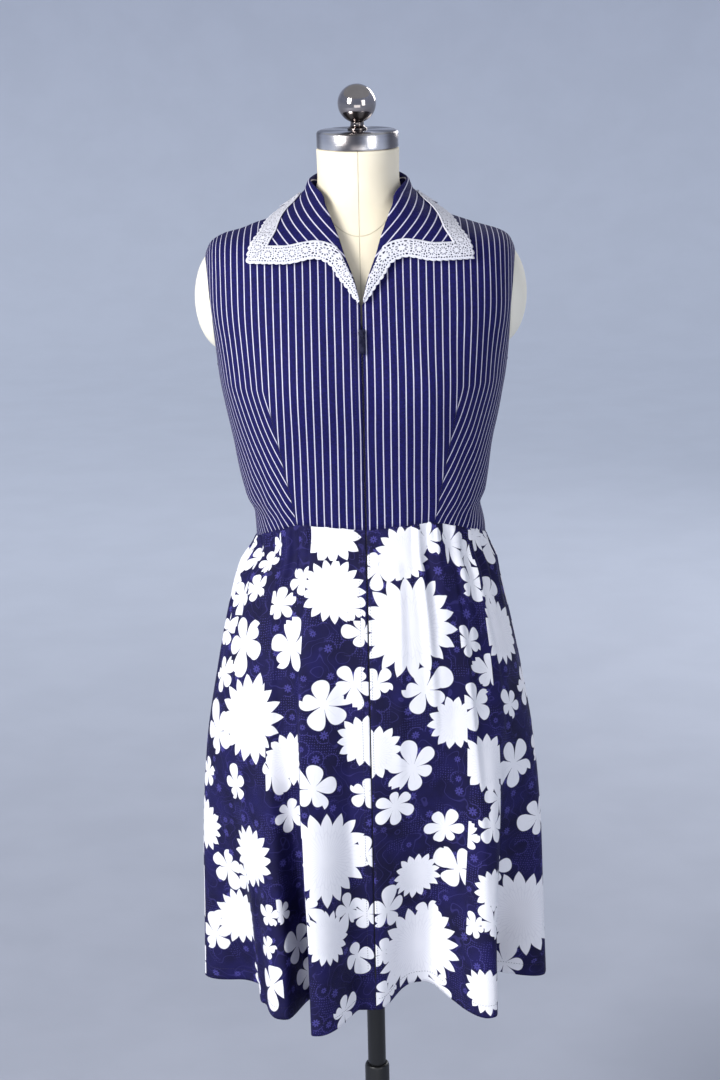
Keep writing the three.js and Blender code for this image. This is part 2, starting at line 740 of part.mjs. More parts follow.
bodiceFront(-1);
bodiceFront(1);
bodiceBack();
skirtPanel('skirt_front_right', -90, 0, grids.frontColumns);
skirtPanel('skirt_front_left', 0, 90, grids.frontColumns);
skirtPanel('skirt_back', 90, 270, grids.backColumns);
collar();
collarLace();
zip();
torso();
capAndFinial();
stand();

const dressOnForm = new THREE.Group();
dressOnForm.add(...meshes);

export default dressOnForm;
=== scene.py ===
import math

import bmesh
import bpy
import numpy as np
from mathutils import Matrix, Vector


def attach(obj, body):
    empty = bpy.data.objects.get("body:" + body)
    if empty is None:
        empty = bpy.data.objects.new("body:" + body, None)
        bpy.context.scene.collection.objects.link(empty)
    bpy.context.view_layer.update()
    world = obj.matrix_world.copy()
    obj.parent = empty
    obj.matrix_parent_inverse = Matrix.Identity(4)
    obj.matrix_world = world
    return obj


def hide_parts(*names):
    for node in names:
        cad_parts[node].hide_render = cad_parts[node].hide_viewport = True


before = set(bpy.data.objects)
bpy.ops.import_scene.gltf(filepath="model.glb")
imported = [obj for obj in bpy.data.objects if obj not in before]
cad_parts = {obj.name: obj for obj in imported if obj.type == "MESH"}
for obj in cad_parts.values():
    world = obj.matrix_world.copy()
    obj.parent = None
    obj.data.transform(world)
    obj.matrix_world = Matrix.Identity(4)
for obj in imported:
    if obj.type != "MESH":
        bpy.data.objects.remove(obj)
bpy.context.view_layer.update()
print("frame loaded")

# Sleeveless zip-front day dress with a lace-edged collar, on a limbless dress form.
# Shapes are worked out in millimetres, with +Z up and the front facing -Y, and each mesh is
# written in metres. Angles go round the pole from the front towards the wearer's left.
mm = 0.001


view = {"place": (-0.007, -2.58, 1.754), "down": 15.57, "roll": 1.26, "lens": 76.93}

cameraData = bpy.data.cameras.new("camera")
cameraData.lens = view["lens"]
cameraData.sensor_width = 36
camera = bpy.data.objects.new("camera", cameraData)
camera.matrix_world = (
    Matrix.Translation(view["place"])
    @ Matrix.Rotation(math.radians(90 - view["down"]), 4, "X")
    @ Matrix.Rotation(math.radians(-view["roll"]), 4, "Z")
)
bpy.context.scene.collection.objects.link(camera)
bpy.context.scene.camera = camera
bpy.context.scene.view_settings.view_transform = "Standard"


class Wire:
    def __init__(self, tree, socket=None):
        self.tree = tree
        self.socket = socket

    # Any node: its type, its settings (set first), and its sockets' values or links
    def node(self, kind, settings=None, sockets=None, out=0):
        made = self.tree.nodes.new(kind)
        for key, value in (settings or {}).items():
            if key == "stops":
                ramp = made.color_ramp
                while len(ramp.elements) < len(value):
                    ramp.elements.new(1)
                for stop, (place, colour) in zip(ramp.elements, value):
                    stop.position = place
                    stop.color = colour
            else:
                setattr(made, key, value)
        for key, value in (sockets or {}).items():
            if isinstance(value, Wire):
                self.tree.links.new(value.socket, made.inputs[key])
            else:
                made.inputs[key].default_value = value
        return Wire(self.tree, made.outputs[out])

    def maths(self, operation, *values):
        return self.node("ShaderNodeMath", {"operation": operation}, dict(enumerate(values)))

    def __add__(self, other):
        return self.maths("ADD", self, other)

    def __radd__(self, other):
        return self.maths("ADD", other, self)

    def __sub__(self, other):
        return self.maths("SUBTRACT", self, other)

    def __rsub__(self, other):
        return self.maths("SUBTRACT", other, self)

    def __mul__(self, other):
        return self.maths("MULTIPLY", self, other)

    def __rmul__(self, other):
        return self.maths("MULTIPLY", other, self)

    def __truediv__(self, other):
        return self.maths("DIVIDE", self, other)

    def __rtruediv__(self, other):
        return self.maths("DIVIDE", other, self)

    def __pow__(self, other):
        return self.maths("POWER", self, other)

    def __mod__(self, other):
        return self.maths("FLOORED_MODULO", self, other)

    def __abs__(self):
        return self.maths("ABSOLUTE", self)

    def most(self, other):
        return self.maths("MAXIMUM", self, other)

    def sine(self):
        return self.maths("SINE", self)

    def cosine(self):
        return self.maths("COSINE", self)

    def floor(self):
        return self.maths("FLOOR", self)

    # 0 below low, 1 above high, smooth between
    def step(self, low, high):
        return self.node(
            "ShaderNodeMapRange",
            {"interpolation_type": "SMOOTHSTEP"},
            {"Value": self, "From Min": low, "From Max": high, "To Min": 0, "To Max": 1},
        )

    def mix(self, first, second):
        return self.node(
            "ShaderNodeMix", {"data_type": "RGBA"}, {0: self, 6: first, 7: second}, out=2
        )

    def parts(self):
        split = self.node("ShaderNodeSeparateXYZ", sockets={0: self})
        outputs = split.socket.node.outputs
        return [Wire(self.tree, outputs[i]) for i in range(3)]


def tone(red, green, blue):
    # A colour given as it is seen, turned to the linear values that shaders use
    seen = [c / 12.92 if c <= 0.04045 else ((c + 0.055) / 1.055) ** 2.4 for c in (red, green, blue)]
    return (*seen, 1)


# Material from a function that returns the wires of the shader's sockets, with the sockets that
# are the same all over given as numbers
def makeMaterial(name, build, **same):
    made = bpy.data.materials.new(name)
    made.use_nodes = True
    tree = made.node_tree
    tree.nodes.clear()
    shader = tree.nodes.new("ShaderNodeBsdfPrincipled")
    end = tree.nodes.new("ShaderNodeOutputMaterial")
    tree.links.new(shader.outputs[0], end.inputs[0])
    for key, value in same.items():
        shader.inputs[key.replace("_", " ")].default_value = value
    for key, value in build(Wire(tree)).items():
        if isinstance(value, Wire):
            tree.links.new(value.socket, shader.inputs[key])
        else:
            shader.inputs[key].default_value = value
    return made


def bumpOf(wire, height, distance, strength=1.0):
    return wire.node(
        "ShaderNodeBump", sockets={"Height": height, "Distance": distance, "Strength": strength}
    )


def objectPlace(wire):
    return wire.node("ShaderNodeTexCoord", out=3)


def clothPlace(wire, name="cloth"):
    return wire.node("ShaderNodeUVMap", {"uv_map": name})


def noiseOf(wire, place, scale, detail=2.0, rough=0.5, flat=False):
    kind = "2D" if flat else "3D"
    return wire.node(
        "ShaderNodeTexNoise",
        {"noise_dimensions": kind},
        {"Vector": place, "Scale": scale, "Detail": detail, "Roughness": rough},
    )


backdrop = {"floor": 6.2, "sweep": 2.2, "high": 6.5, "around": 72}
lights = {
    "key": {"at": (-2.5, -2.3, 2.5), "to": (0, 0, 1.0), "size": (1.3, 1.8), "watts": 165},
    "fill": {"at": (2.2, -2.6, 1.8), "to": (0, 0, 0.95), "size": (1.2, 1.8), "watts": 22},
    "low": {"at": (0.1, -3.2, 0.7), "to": (0, 0, 0.8), "size": (2.2, 0.9), "watts": 12},
    "behind": {"at": (1.9, 3.0, 2.3), "to": (0, 0, 0.9), "size": (1.6, 1.6), "watts": 42},
}


# Painted studio sweep that glows as painted light: no glow near the object, so that shadows show,
# more glow further away, a little more on the left than the right, and a dimmer, even glow higher
# up the wall
def backdropMaterial(wire):
    place = objectPlace(wire)
    x, y, z = place.parts()
    away = (x * x + y * y) ** 0.5
    grain = noiseOf(wire, place, 5, 3)
    # Painted light: the backdrop's glow, nil near the object, brighter away from it and on the left
    painted_glow = away.step(0.5, 4.2).mix(tone(0, 0, 0), x.step(-3.5, 3).mix(
        tone(0.69, 0.725, 0.785), tone(0.62, 0.655, 0.715)
    ))
    return {
        "Base Color": grain.step(0.3, 0.7).mix(tone(0.66, 0.68, 0.735), tone(0.68, 0.70, 0.755)),
        "Roughness": grain * 0.1 + 0.85,
        # The backdrop's glow is painted light
        "Emission Color": z.step(-0.2, 2.6).mix(painted_glow, tone(0.44, 0.465, 0.525)),
        "Normal": bumpOf(wire, noiseOf(wire, place, 220, 2), 0.0004, 0.4),
    }


def makeBackdrop():
    shape = bmesh.new()
    outline = [(reach, 0) for reach in (0, 0.6, 1.6, 3, 4.5, backdrop["floor"])]
    steps = 14
    for i in range(1, steps + 1):
        turn = math.pi / 2 * i / steps
        outline.append((
            backdrop["floor"] + backdrop["sweep"] * math.sin(turn),
            backdrop["sweep"] * (1 - math.cos(turn)),
        ))
    outline.append((backdrop["floor"] + backdrop["sweep"], backdrop["high"]))
    corners = [shape.verts.new((reach, 0, z)) for reach, z in outline]
    edges = [shape.edges.new(pair) for pair in zip(corners, corners[1:])]
    bmesh.ops.spin(
        shape, geom=corners + edges, cent=(0, 0, 0), axis=(0, 0, 1), angle=2 * math.pi,
        steps=backdrop["around"], use_merge=True,
    )
    bmesh.ops.remove_doubles(shape, verts=shape.verts, dist=0.0001)
    bmesh.ops.recalc_face_normals(shape, faces=shape.faces)
    bmesh.ops.reverse_faces(shape, faces=shape.faces)
    for face in shape.faces:
        face.smooth = True
    mesh = bpy.data.meshes.new("backdrop")
    shape.to_mesh(mesh)
    shape.free()
    made = bpy.data.objects.new("backdrop", mesh)
    bpy.context.scene.collection.objects.link(made)
    # The backdrop glows as painted light, in place of light from the world
    made.data.materials.append(
        makeMaterial("glowing_backdrop", backdropMaterial, Emission_Strength=0.62)
    )


def makeLights():
    for name, light in lights.items():
        data = bpy.data.lights.new(name, "AREA")
        data.shape = "RECTANGLE"
        data.size, data.size_y = light["size"]
        data.energy = light["watts"]
        data.color = (1.0, 0.99, 0.975)
        made = bpy.data.objects.new(name, data)
        made.location = light["at"]
        towards = Vector(light["to"]) - Vector(light["at"])
        made.rotation_euler = towards.to_track_quat("-Z", "Y").to_euler()
        made.visible_camera = False
        bpy.context.scene.collection.objects.link(made)
    world = bpy.data.worlds.new("studio")
    world.use_nodes = True
    sky = world.node_tree.nodes["Background"]
    sky.inputs["Color"].default_value = tone(0.90, 0.92, 0.96)
    sky.inputs["Strength"].default_value = 0.4
    bpy.context.scene.world = world


makeBackdrop()
makeLights()
print("backdrop and lights made")


# Sections: height, half width, depth in front of the pole, depth behind it, squareness (2 is an
# ellipse)
dressSections = [
    (484, 209, 100, 132, 2.0), (576, 206, 106, 136, 2.0), (680, 203, 116, 138, 2.0),
    (783, 195, 123, 136, 2.05), (880, 179, 125, 128, 2.1), (960, 161, 121, 112, 2.15),
    (1010, 146, 114, 95, 2.2), (1045, 126, 105, 80, 2.3), (1077, 127, 103, 77, 2.35),
    (1100, 137, 106, 78, 2.4), (1165, 149, 117, 85, 2.45), (1205, 157, 127, 91, 2.5),
    (1235, 162, 131, 95, 2.6), (1265, 165, 126, 98, 2.7), (1300, 169, 115, 101, 2.8),
    (1340, 173, 101, 102, 2.8), (1370, 174, 89, 99, 2.7), (1384, 168, 82, 95, 2.6),
    (1391, 156, 78, 91, 2.5), (1399, 130, 74, 86, 2.4), (1409, 103, 70, 79, 2.3),
    (1418, 84, 66, 72, 2.2), (1428, 67, 60, 64, 2.1), (1438, 55, 54, 56, 2.0),
    (1470, 46, 46, 47, 2.0),
]
formSections = [
    (790, 160, 98, 104, 2.1), (860, 162, 104, 108, 2.1), (950, 147, 103, 94, 2.15),
    (1005, 130, 97, 80, 2.2), (1060, 114, 88, 66, 2.25), (1100, 119, 92, 68, 2.3),
    (1165, 136, 105, 77, 2.4), (1235, 151, 119, 88, 2.5), (1300, 159, 105, 95, 2.6),
    (1345, 162, 90, 95, 2.6), (1372, 155, 76, 86, 2.5), (1384, 140, 70, 80, 2.4),
    (1394, 117, 66, 75, 2.3), (1405, 92, 63, 71, 2.2), (1416, 72, 57, 62, 2.1),
    (1430, 52, 49, 51, 2.0), (1455, 45.5, 45, 45.5, 2.0), (1487, 46, 45, 45, 2.0),
]
bust = {"rise": 7, "apart": 78, "height": 1232, "spreadX": 42, "spreadZ": 52}
waistSlack = {"shift": 12, "height": 1046, "spread": 36}
waistSeam = [(0, 1076), (36, 1080), (62, 1064), (90, 1046), (180, 1049)]
hemHeight = 486


# Smooth interpolation through rows that start with their own position, with no overshoot
def along(rows, position, column=1):
    at = np.array([row[0] for row in rows], float)
    value = np.array([row[column] for row in rows], float)
    slope = np.diff(value) / np.diff(at)
    tangent = np.concatenate([slope[:1], np.zeros(len(at) - 2), slope[-1:]])
    before, after = slope[:-1], slope[1:]
    same = before * after > 0
    tangent[1:-1] = np.where(same, 2 * before * after / np.where(same, before + after, 1), 0)
    place = np.clip(position, at[0], at[-1])
    i = np.clip(np.searchsorted(at, place, side="right") - 1, 0, len(at) - 2)
    span = at[i + 1] - at[i]
    t = (place - at[i]) / span
    blend = t * t * (3 - 2 * t)
    turn = t * (1 - t) ** 2 * tangent[i] - t * t * (1 - t) * tangent[i + 1]
    return value[i] * (1 - blend) + value[i + 1] * blend + span * turn


def sectionPoint(sections, angle, z):
    phi = np.radians(angle)
    side, front = np.sin(phi), np.cos(phi)
    square = along(sections, z, 4)
    depth = np.where(front > 0, along(sections, z, 2), along(sections, z, 3))
    reach = (np.abs(side) / along(sections, z, 1)) ** square + (np.abs(front) / depth) ** square
    r = reach ** (-1 / square)
    x, y = r * side, -r * front
    across = (np.abs(x) - bust["apart"]) / bust["spreadX"]
    up = (z - bust["height"]) / bust["spreadZ"]
    y = y - bust["rise"] * np.maximum(front, 0) * np.exp(-across ** 2 - up ** 2)
    return np.stack([x, y, z + 0 * x], -1)


def formPoint(angle, z):
    return sectionPoint(formSections, angle, z)


def dressPoint(angle, z):
    point = sectionPoint(dressSections, angle, z)
    towards = np.maximum(0, point[..., 0]) / along(dressSections, z)
    near = np.exp(-(((z - waistSlack["height"]) / waistSlack["spread"]) ** 2))
    point[..., 0] += waistSlack["shift"] * towards ** 3 * near
    return point


def unit(vector):
    return vector / np.linalg.norm(vector, axis=-1, keepdims=True)


def outward(surface, angle, z):
    step = 0.4
    around = surface(angle + step, z) - surface(angle - step, z)
    up = surface(angle, z + step) - surface(angle, z - step)
    return unit(np.cross(around, up))


# Folds of the skirt: where each one runs, how far it stands out of the hem (or into it), how far
# it spreads on either side, how high it dies out, how much it lifts the hem, and how far its crest
# leans over its steep side
skirtFolds = [
    {"at": -72, "out": -44, "right": 20, "left": 12, "top": 880, "lift": 0, "lean": 0},
    {"at": -51, "out": 34, "right": 9, "left": 10, "top": 900, "lift": 0, "lean": 4},
    {"at": -41, "out": -26, "right": 7, "left": 8, "top": 960, "lift": 0, "lean": 0},
    {"at": -30, "out": 62, "right": 8, "left": 19, "top": 1070, "lift": -3, "lean": -9},
    {"at": 32, "out": -40, "right": 30, "left": 17, "top": 940, "lift": 15, "lean": 0},
    {"at": 55, "out": 42, "right": 9, "left": 8, "top": 860, "lift": -3, "lean": 5},
    {"at": 69, "out": -56, "right": 8, "left": 17, "top": 900, "lift": 3, "lean": 0},
    {"at": 112, "out": -22, "right": 16, "left": 14, "top": 900, "lift": 0, "lean": 0},
    {"at": 131, "out": 20, "right": 13, "left": 12, "top": 960, "lift": 0, "lean": 0},
    {"at": 150, "out": -26, "right": 12, "left": 14, "top": 940, "lift": 6, "lean": 0},
    {"at": 171, "out": 24, "right": 15, "left": 14, "top": 1010, "lift": 0, "lean": 0},
    {"at": 196, "out": -26, "right": 14, "left": 13, "top": 930, "lift": 6, "lean": 0},
    {"at": 216, "out": 24, "right": 12, "left": 14, "top": 960, "lift": 0, "lean": 0},
    {"at": 240, "out": -24, "right": 14, "left": 16, "top": 900, "lift": 0, "lean": 0},
]


def foldShare(fold, angle):
    away = (angle - fold["at"] + 540) % 360 - 180
    reach = np.abs(away / np.where(away < 0, fold["right"], fold["left"]))
    return np.where(reach >= 1, 0, 0.5 + 0.5 * np.cos(np.pi * np.minimum(reach, 1) ** 1.4))


def hemAt(angle):
    return hemHeight + sum(fold["lift"] * foldShare(fold, angle) for fold in skirtFolds)


def waistAt(angle):
    around = np.abs((angle + 540) % 360 - 180)
    knot = np.floor(around / 9) * 9
    share = (around - knot) / 9
    return along(waistSeam, knot) * (1 - share) + along(waistSeam, knot + 9) * share


# Small pleats drawn up into the waist seam, on both sides of the flat middle
gathers = {"pitch": 3.1, "deep": 1.7, "fade": 34, "broad": 9.7, "broadDeep": 2.6, "broadFade": 95}


def gatherRise(angle, z):
    drop = waistAt(angle) - z
    around = np.abs((angle + 180) % 360 - 180)
    held = np.clip((around - 24) / 10, 0, 1)
    uneven = 0.65 + 0.35 * np.sin(angle * 0.31 + 1.3)
    fine = np.sin(2 * np.pi * angle / gathers["pitch"] + 1.4 * np.sin(angle * 0.23))
    broad = np.sin(2 * np.pi * angle / gathers["broad"] + 1.1 * np.sin(angle * 0.17 + 2))
    start = np.clip(drop / 6, 0, 1)
    rise = gathers["deep"] * uneven * fine * np.exp(-drop / gathers["fade"])
    rise = rise + gathers["broadDeep"] * broad * np.exp(-((drop - 40) / gathers["broadFade"]) ** 2)
    return rise * held * start


# Long creases with a crisp ridge: where each runs at the top and at the foot, how far it stands
# out, its spread on either side, and the heights between which it shows
creases = [
    {"from": -33, "to": -30, "out": 6.0, "right": 3.0, "left": 11, "top": 1062, "foot": 560},
    {"from": -47, "to": -50, "out": 3.5, "right": 8, "left": 3, "top": 1050, "foot": 560},
    {"from": -60, "to": -63, "out": 3.0, "right": 3, "left": 8, "top": 1030, "foot": 700},
    {"from": 18, "to": 15, "out": 3.2, "right": 8, "left": 5, "top": 1040, "foot": 760},
    {"from": 30, "to": 34, "out": 2.4, "right": 5, "left": 3, "top": 1060, "foot": 800},
    {"from": 46, "to": 54, "out": 5.0, "right": 9, "left": 3.0, "top": 1062, "foot": 600},
    {"from": 62, "to": 66, "out": 3.0, "right": 6, "left": 3, "top": 1045, "foot": 760},
    {"from": 118, "to": 124, "out": 4.0, "right": 7, "left": 4, "top": 1040, "foot": 620},
    {"from": 146, "to": 142, "out": 4.0, "right": 4, "left": 8, "top": 1040, "foot": 640},
    {"from": 172, "to": 171, "out": 5.0, "right": 5, "left": 9, "top": 1040, "foot": 560},
    {"from": 205, "to": 210, "out": 4.0, "right": 8, "left": 4, "top": 1040, "foot": 600},
    {"from": 232, "to": 228, "out": 4.0, "right": 4, "left": 7, "top": 1035, "foot": 660},
]


def creaseRise(angle, z):
    rise = 0 * angle
    for crease in creases:
        share = np.clip((crease["top"] - z) / (crease["top"] - crease["foot"]), 0, 1)
        line = crease["from"] + (crease["to"] - crease["from"]) * share
        away = (angle - line + 540) % 360 - 180
        reach = np.minimum(np.abs(away / np.where(away < 0, crease["right"], crease["left"])), 1)
        ridge = (1 - reach) ** 2 * (1 + 2 * reach) * 0.5 + (1 - reach) ** 2 * 0.5
        rise = rise + crease["out"] * ridge * np.sin(np.pi * np.clip(share, 0, 1) ** 0.6) ** 0.7
    return rise


def skirtPoint(angle, z):
    point = dressPoint(angle, z)
    direction = outward(dressPoint, angle, z)
    direction[..., 2] = 0
    direction = unit(direction)
    out = gatherRise(angle, z) + creaseRise(angle, z)
    lean = 0 * angle
    for fold in skirtFolds:
        drop = np.maximum(0, (fold["top"] - z) / (fold["top"] - hemHeight))
        share = foldShare(fold, angle)
        out = out + fold["out"] * share * drop ** 1.5
        lean = lean + fold["lean"] * share ** 2 * drop
    sideways = np.stack([-direction[..., 1], direction[..., 0], 0 * angle], -1)
    return point + direction * out[..., None] + sideways * lean[..., None]


print("surfaces ready")


def lattice(columns, rows):
    return np.meshgrid(np.arange(columns + 1) / columns, np.arange(rows + 1) / rows)


# Sheet on a lattice of columns by rows, whose points are given in millimetres by shapeAt(u, v).
# The "cloth" map holds each point's place on the cut cloth, in metres
def makeSheet(name, columns, rows, shapeAt, wall, materials, origin=(0, 0), motifs=(), grain=None,
              placeOf=None):
    shape = bmesh.new()
    bmesh.ops.create_grid(shape, x_segments=columns, y_segments=rows, size=0.5, calc_uvs=True)
    i = np.array([round((v.co.x + 0.5) * columns) for v in shape.verts])
    j = np.array([round((v.co.y + 0.5) * rows) for v in shape.verts])
    u, v = lattice(columns, rows)
    points = shapeAt(u, v)
    for vert, place in zip(shape.verts, points[j, i] * mm):
        vert.co = place
    cloth = clothLengths(points, origin)
    if grain:
        cloth[..., 0] = grain(u, v) * mm
    if placeOf:
        cloth = placeOf(points) * mm
    layer = shape.loops.layers.uv.verify()
    for face in shape.faces:
        face.smooth = True
        for loop in face.loops:
            k = loop.vert.index
            loop[layer].uv = cloth[j[k], i[k]]
    for motif in motifs:
        motif(shape, cloth, i, j)
    return finishMesh(name, shape, materials, wall)


def clothLengths(points, origin):
    lengths = np.zeros(points.shape[:2] + (2,))
    across = np.linalg.norm(np.diff(points, axis=1), axis=2)
    up = np.linalg.norm(np.diff(points, axis=0), axis=2)
    lengths[:, 1:, 0] = np.cumsum(across, axis=1)
    lengths[1:, :, 1] = np.cumsum(up, axis=0)
    column = round(origin[0] * (points.shape[1] - 1))
    row = round(origin[1] * (points.shape[0] - 1))
    lengths[..., 0] -= lengths[:, column:column + 1, 0]
    lengths[..., 1] -= lengths[row:row + 1, :, 1]
    return lengths * mm


def finishMesh(name, shape, materials, wall=0):
    mesh = bpy.data.meshes.new(name)
    shape.to_mesh(mesh)
    shape.free()
    if mesh.uv_layers:
        mesh.uv_layers[0].name = "cloth"
    made = bpy.data.objects.new(name, mesh)
    bpy.context.scene.collection.objects.link(made)
    for material in materials:
        mesh.materials.append(material)
    if wall:
        thick = made.modifiers.new("wall", "SOLIDIFY")
        thick.thickness = wall * mm
        thick.offset = -1
    return made


# Curved patch between four edges, each giving angle and height
def patch(left, right, bottom, top, u, v):
    sides = []
    zero, one = np.zeros(1), np.ones(1)
    for k in range(2):
        corners = [left(zero)[k], right(zero)[k], left(one)[k], right(one)[k]]
        sides.append(
            (1 - v) * bottom(u)[k] + v * top(u)[k] + (1 - u) * left(v)[k] + u * right(v)[k]
            - (1 - u) * (1 - v) * corners[0] - u * (1 - v) * corners[1]
            - (1 - u) * v * corners[2] - u * v * corners[3]
        )
    return sides


def degreesOf(millimetres, angle, z):
    point = dressPoint(angle, z)
    return np.degrees(millimetres / np.hypot(point[..., 0], point[..., 1]))


stripes = {"pitch": 8.4, "width": 1.15, "wander": 0.9}
frontDart = {"top": 1238, "topX": 107, "foot": 1078, "footX": 77, "intake": 80}
backDart = {"top": 1215, "topX": 82, "foot": 1050, "footX": 72, "intake": 34}
navy = {"deep": tone(0.062, 0.056, 0.27), "light": tone(0.092, 0.083, 0.345)}
stripeWhite = tone(0.84, 0.83, 0.90)


def weaveBump(wire, cloth, depth=0.00012):
    across, up, _ = cloth.parts()
    threads = (across * 9000).sine() * (up * 9000).sine()
    crumple = noiseOf(wire, objectPlace(wire), 38, 4)
    low = bumpOf(wire, crumple, 0.0022, 0.35)
    return wire.node(
        "ShaderNodeBump",
        sockets={"Height": threads, "Distance": depth, "Strength": 0.5, "Normal": low},
    )


def stripeCloth(wire, coordinate, extra=None):
    place = objectPlace(wire)
    wander = (noiseOf(wire, place, 9, 1) - 0.5) * (2 * stripes["wander"] * mm)
    share = ((coordinate + wander) / (stripes["pitch"] * mm)) % 1
    away = abs(share - 0.5) * stripes["pitch"]
    half = stripes["width"] / 2
    line = 1 - away.step(half - 0.22, half + 0.22)
    thread = noiseOf(wire, place, 900, 2)
    line = line * (thread * 0.3 + 0.78)
    ground = noiseOf(wire, place, 420, 3).step(0.35, 0.7).mix(navy["deep"], navy["light"])
    colour = line.mix(ground, stripeWhite)
    if extra:
        colour = extra.mix(colour, tone(0.07, 0.065, 0.2))
    return {
        "Base Color": colour,
        "Roughness": noiseOf(wire, place, 60, 2) * 0.1 + 0.74,
        "Normal": weaveBump(wire, clothPlace(wire)),
    }


# The stripes follow the cloth's own grain, and meet in points where a dart takes cloth away
def bodiceBuild(dart):
    def build(wire):
        across = clothPlace(wire).parts()[0]
        x, _, z = objectPlace(wire).parts()
        drop = ((dart["top"] * mm - z) / ((dart["top"] - dart["foot"]) * mm)).most(0)
        line = dart["topX"] * mm - drop * ((dart["topX"] - dart["footX"]) * mm)
        beyond = (abs(x) - line) / mm
        outer = beyond.step(-0.15, 0.15)
        taken = drop ** 1.3 * (dart["intake"] * mm)
        seam = (1 - abs(beyond).step(0.3, 0.9)) * drop.step(0.02, 0.2)
        return stripeCloth(wire, abs(across) + outer * taken, seam * 0.7)
    return build


cloths = {
    "front": makeMaterial(
        "pinstripe_cotton_front", bodiceBuild(frontDart), Specular_IOR_Level=0.18
    ),
    "back": makeMaterial(
        "pinstripe_cotton_back", bodiceBuild(backDart), Specular_IOR_Level=0.18
    ),
}


# Stations of the collar from the V to the nape: roll line (angle, height), outer edge (angle,
# height), share of the way from roll to edge where the neck seam lies, share where lace starts
collarStations = [
    (0.9, 1332, 1.7, 1330, 0.5, 0.05), (3.5, 1350, 8.2, 1346, 0.5, 0.1),
    (6.2, 1362, 13.3, 1356, 0.45, 0.15), (12.2, 1382, 20.6, 1371, 0.4, 0.22),
    (18, 1400, 30, 1376, 0.32, 0.32), (23, 1412, 44, 1371, 0.26, 0.48),
    (27.3, 1420, 58, 1371, 0.25, 0.68), (35.8, 1430, 63, 1396, 0.3, 0.66),
    (46, 1441, 79.5, 1414, 0.36, 0.6), (60, 1447, 90, 1422, 0.4, 0.56),
    (79, 1451, 103.4, 1417, 0.45, 0.56), (104, 1453, 124, 1411, 0.45, 0.6),
    (130, 1456, 143, 1407, 0.45, 0.62), (155, 1457, 161, 1405, 0.45, 0.62),
    (180, 1457, 180, 1404, 0.45, 0.62),
]
collarTip = 6
neckPoint = 10
frontArmhole = [(90, 1244), (83, 1252), (78, 1274), (76, 1310), (78, 1346), (83, 1372), (90, 1385)]
backArmhole = [
    (90, 1244), (98, 1252), (104, 1276), (106, 1310), (104, 1346), (98, 1372), (90, 1385),
]
bodice = {"wall": 0.9, "halfOpening": 0.95, "tuck": 1.2, "knee": 0.5625, "columns": 44, "rows": 72}


# Every column of the collar's stations at a place along them; the edge turns sharply at the tip
def stationAt(s):
    found = []
    for column in range(6):
        rows = [(k, station[column]) for k, station in enumerate(collarStations)]
        near = along(rows[:collarTip + 1], s)
        far = along(rows[collarTip:], s)
        found.append(np.where(s <= collarTip, near, far))
    return found


def neckSeam(s):
    rollAngle, rollZ, edgeAngle, edgeZ, seam, _ = stationAt(s)
    return [rollAngle + (edgeAngle - rollAngle) * seam, rollZ + (edgeZ - rollZ) * seam]


def curveOf(points, share):
    rows = [(k / (len(points) - 1), *point) for k, point in enumerate(points)]
    return [along(rows, share, 1), along(rows, share, 2)]


def frontPlace(side, u, v):
    knee = bodice["knee"]

    def centreFront(v):
        low = waistAt(0 * v) - bodice["tuck"]
        z = low + (neckSeam(0 * v)[1] - low) * np.minimum(v / knee, 1)
        upper = neckSeam(np.maximum(v - knee, 0) / (1 - knee) * neckPoint)
        opening = degreesOf(bodice["halfOpening"], 0 * v, z)
        return [np.where(v > knee, upper[0], opening), np.where(v > knee, upper[1], z)]

    def sideEdge(v):
        low = waistAt(90 + 0 * v) - bodice["tuck"]
        z = low + (frontArmhole[0][1] - low) * np.minimum(v / knee, 1)
        upper = curveOf(frontArmhole, np.maximum(v - knee, 0) / (1 - knee))
        return [np.where(v > knee, upper[0], 90), np.where(v > knee, upper[1], z)]

    def waist(u):
        start = centreFront(np.zeros(1))[0]
        angle = start + (90 - start) * u
        return [angle, waistAt(angle) - bodice["tuck"]]

    def shoulder(u):
        return [90 + 0 * u, neckSeam(neckPoint + 0 * u)[1] * (1 - u) + frontArmhole[-1][1] * u]

    across = u if side > 0 else 1 - u
    angle, z = patch(centreFront, sideEdge, waist, shoulder, across, v)
    return side * np.minimum(angle, 90), z


def backPlace(u, v):
    underarm, shoulder = 7 / 18, 13 / 18

    def sideEdge(v):
        low = waistAt(90 + 0 * v) - bodice["tuck"]
        below = low + (backArmhole[0][1] - low) * np.minimum(v / underarm, 1)
        share = np.clip((v - underarm) / (shoulder - underarm), 0, 1)
        hole = curveOf(backArmhole, share)
        above = np.clip((v - shoulder) / (1 - shoulder), 0, 1)
        top = backArmhole[-1][1] * (1 - above) + neckSeam(neckPoint + 0 * v)[1] * above
        angle = np.where((v > underarm) & (v < shoulder), hole[0], 90)
        z = np.where(v <= underarm, below, np.where(v < shoulder, hole[1], top))
        return [angle, z]

    def otherSide(v):
        angle, z = sideEdge(v)
        return [360 - angle, z]

    def waist(u):
        angle = 90 + 180 * u
        return [angle, waistAt(angle) - bodice["tuck"]]

    def neckline(u):
        nape = len(collarStations) - 1
        s = neckPoint + (nape - neckPoint) * (1 - np.abs(2 * u - 1))
        angle, z = neckSeam(s)
        return [np.where(u < 0.5, angle, 360 - angle), z]

    angle, z = patch(sideEdge, otherSide, waist, neckline, u, v)
    return np.clip(angle, 90, 270), z


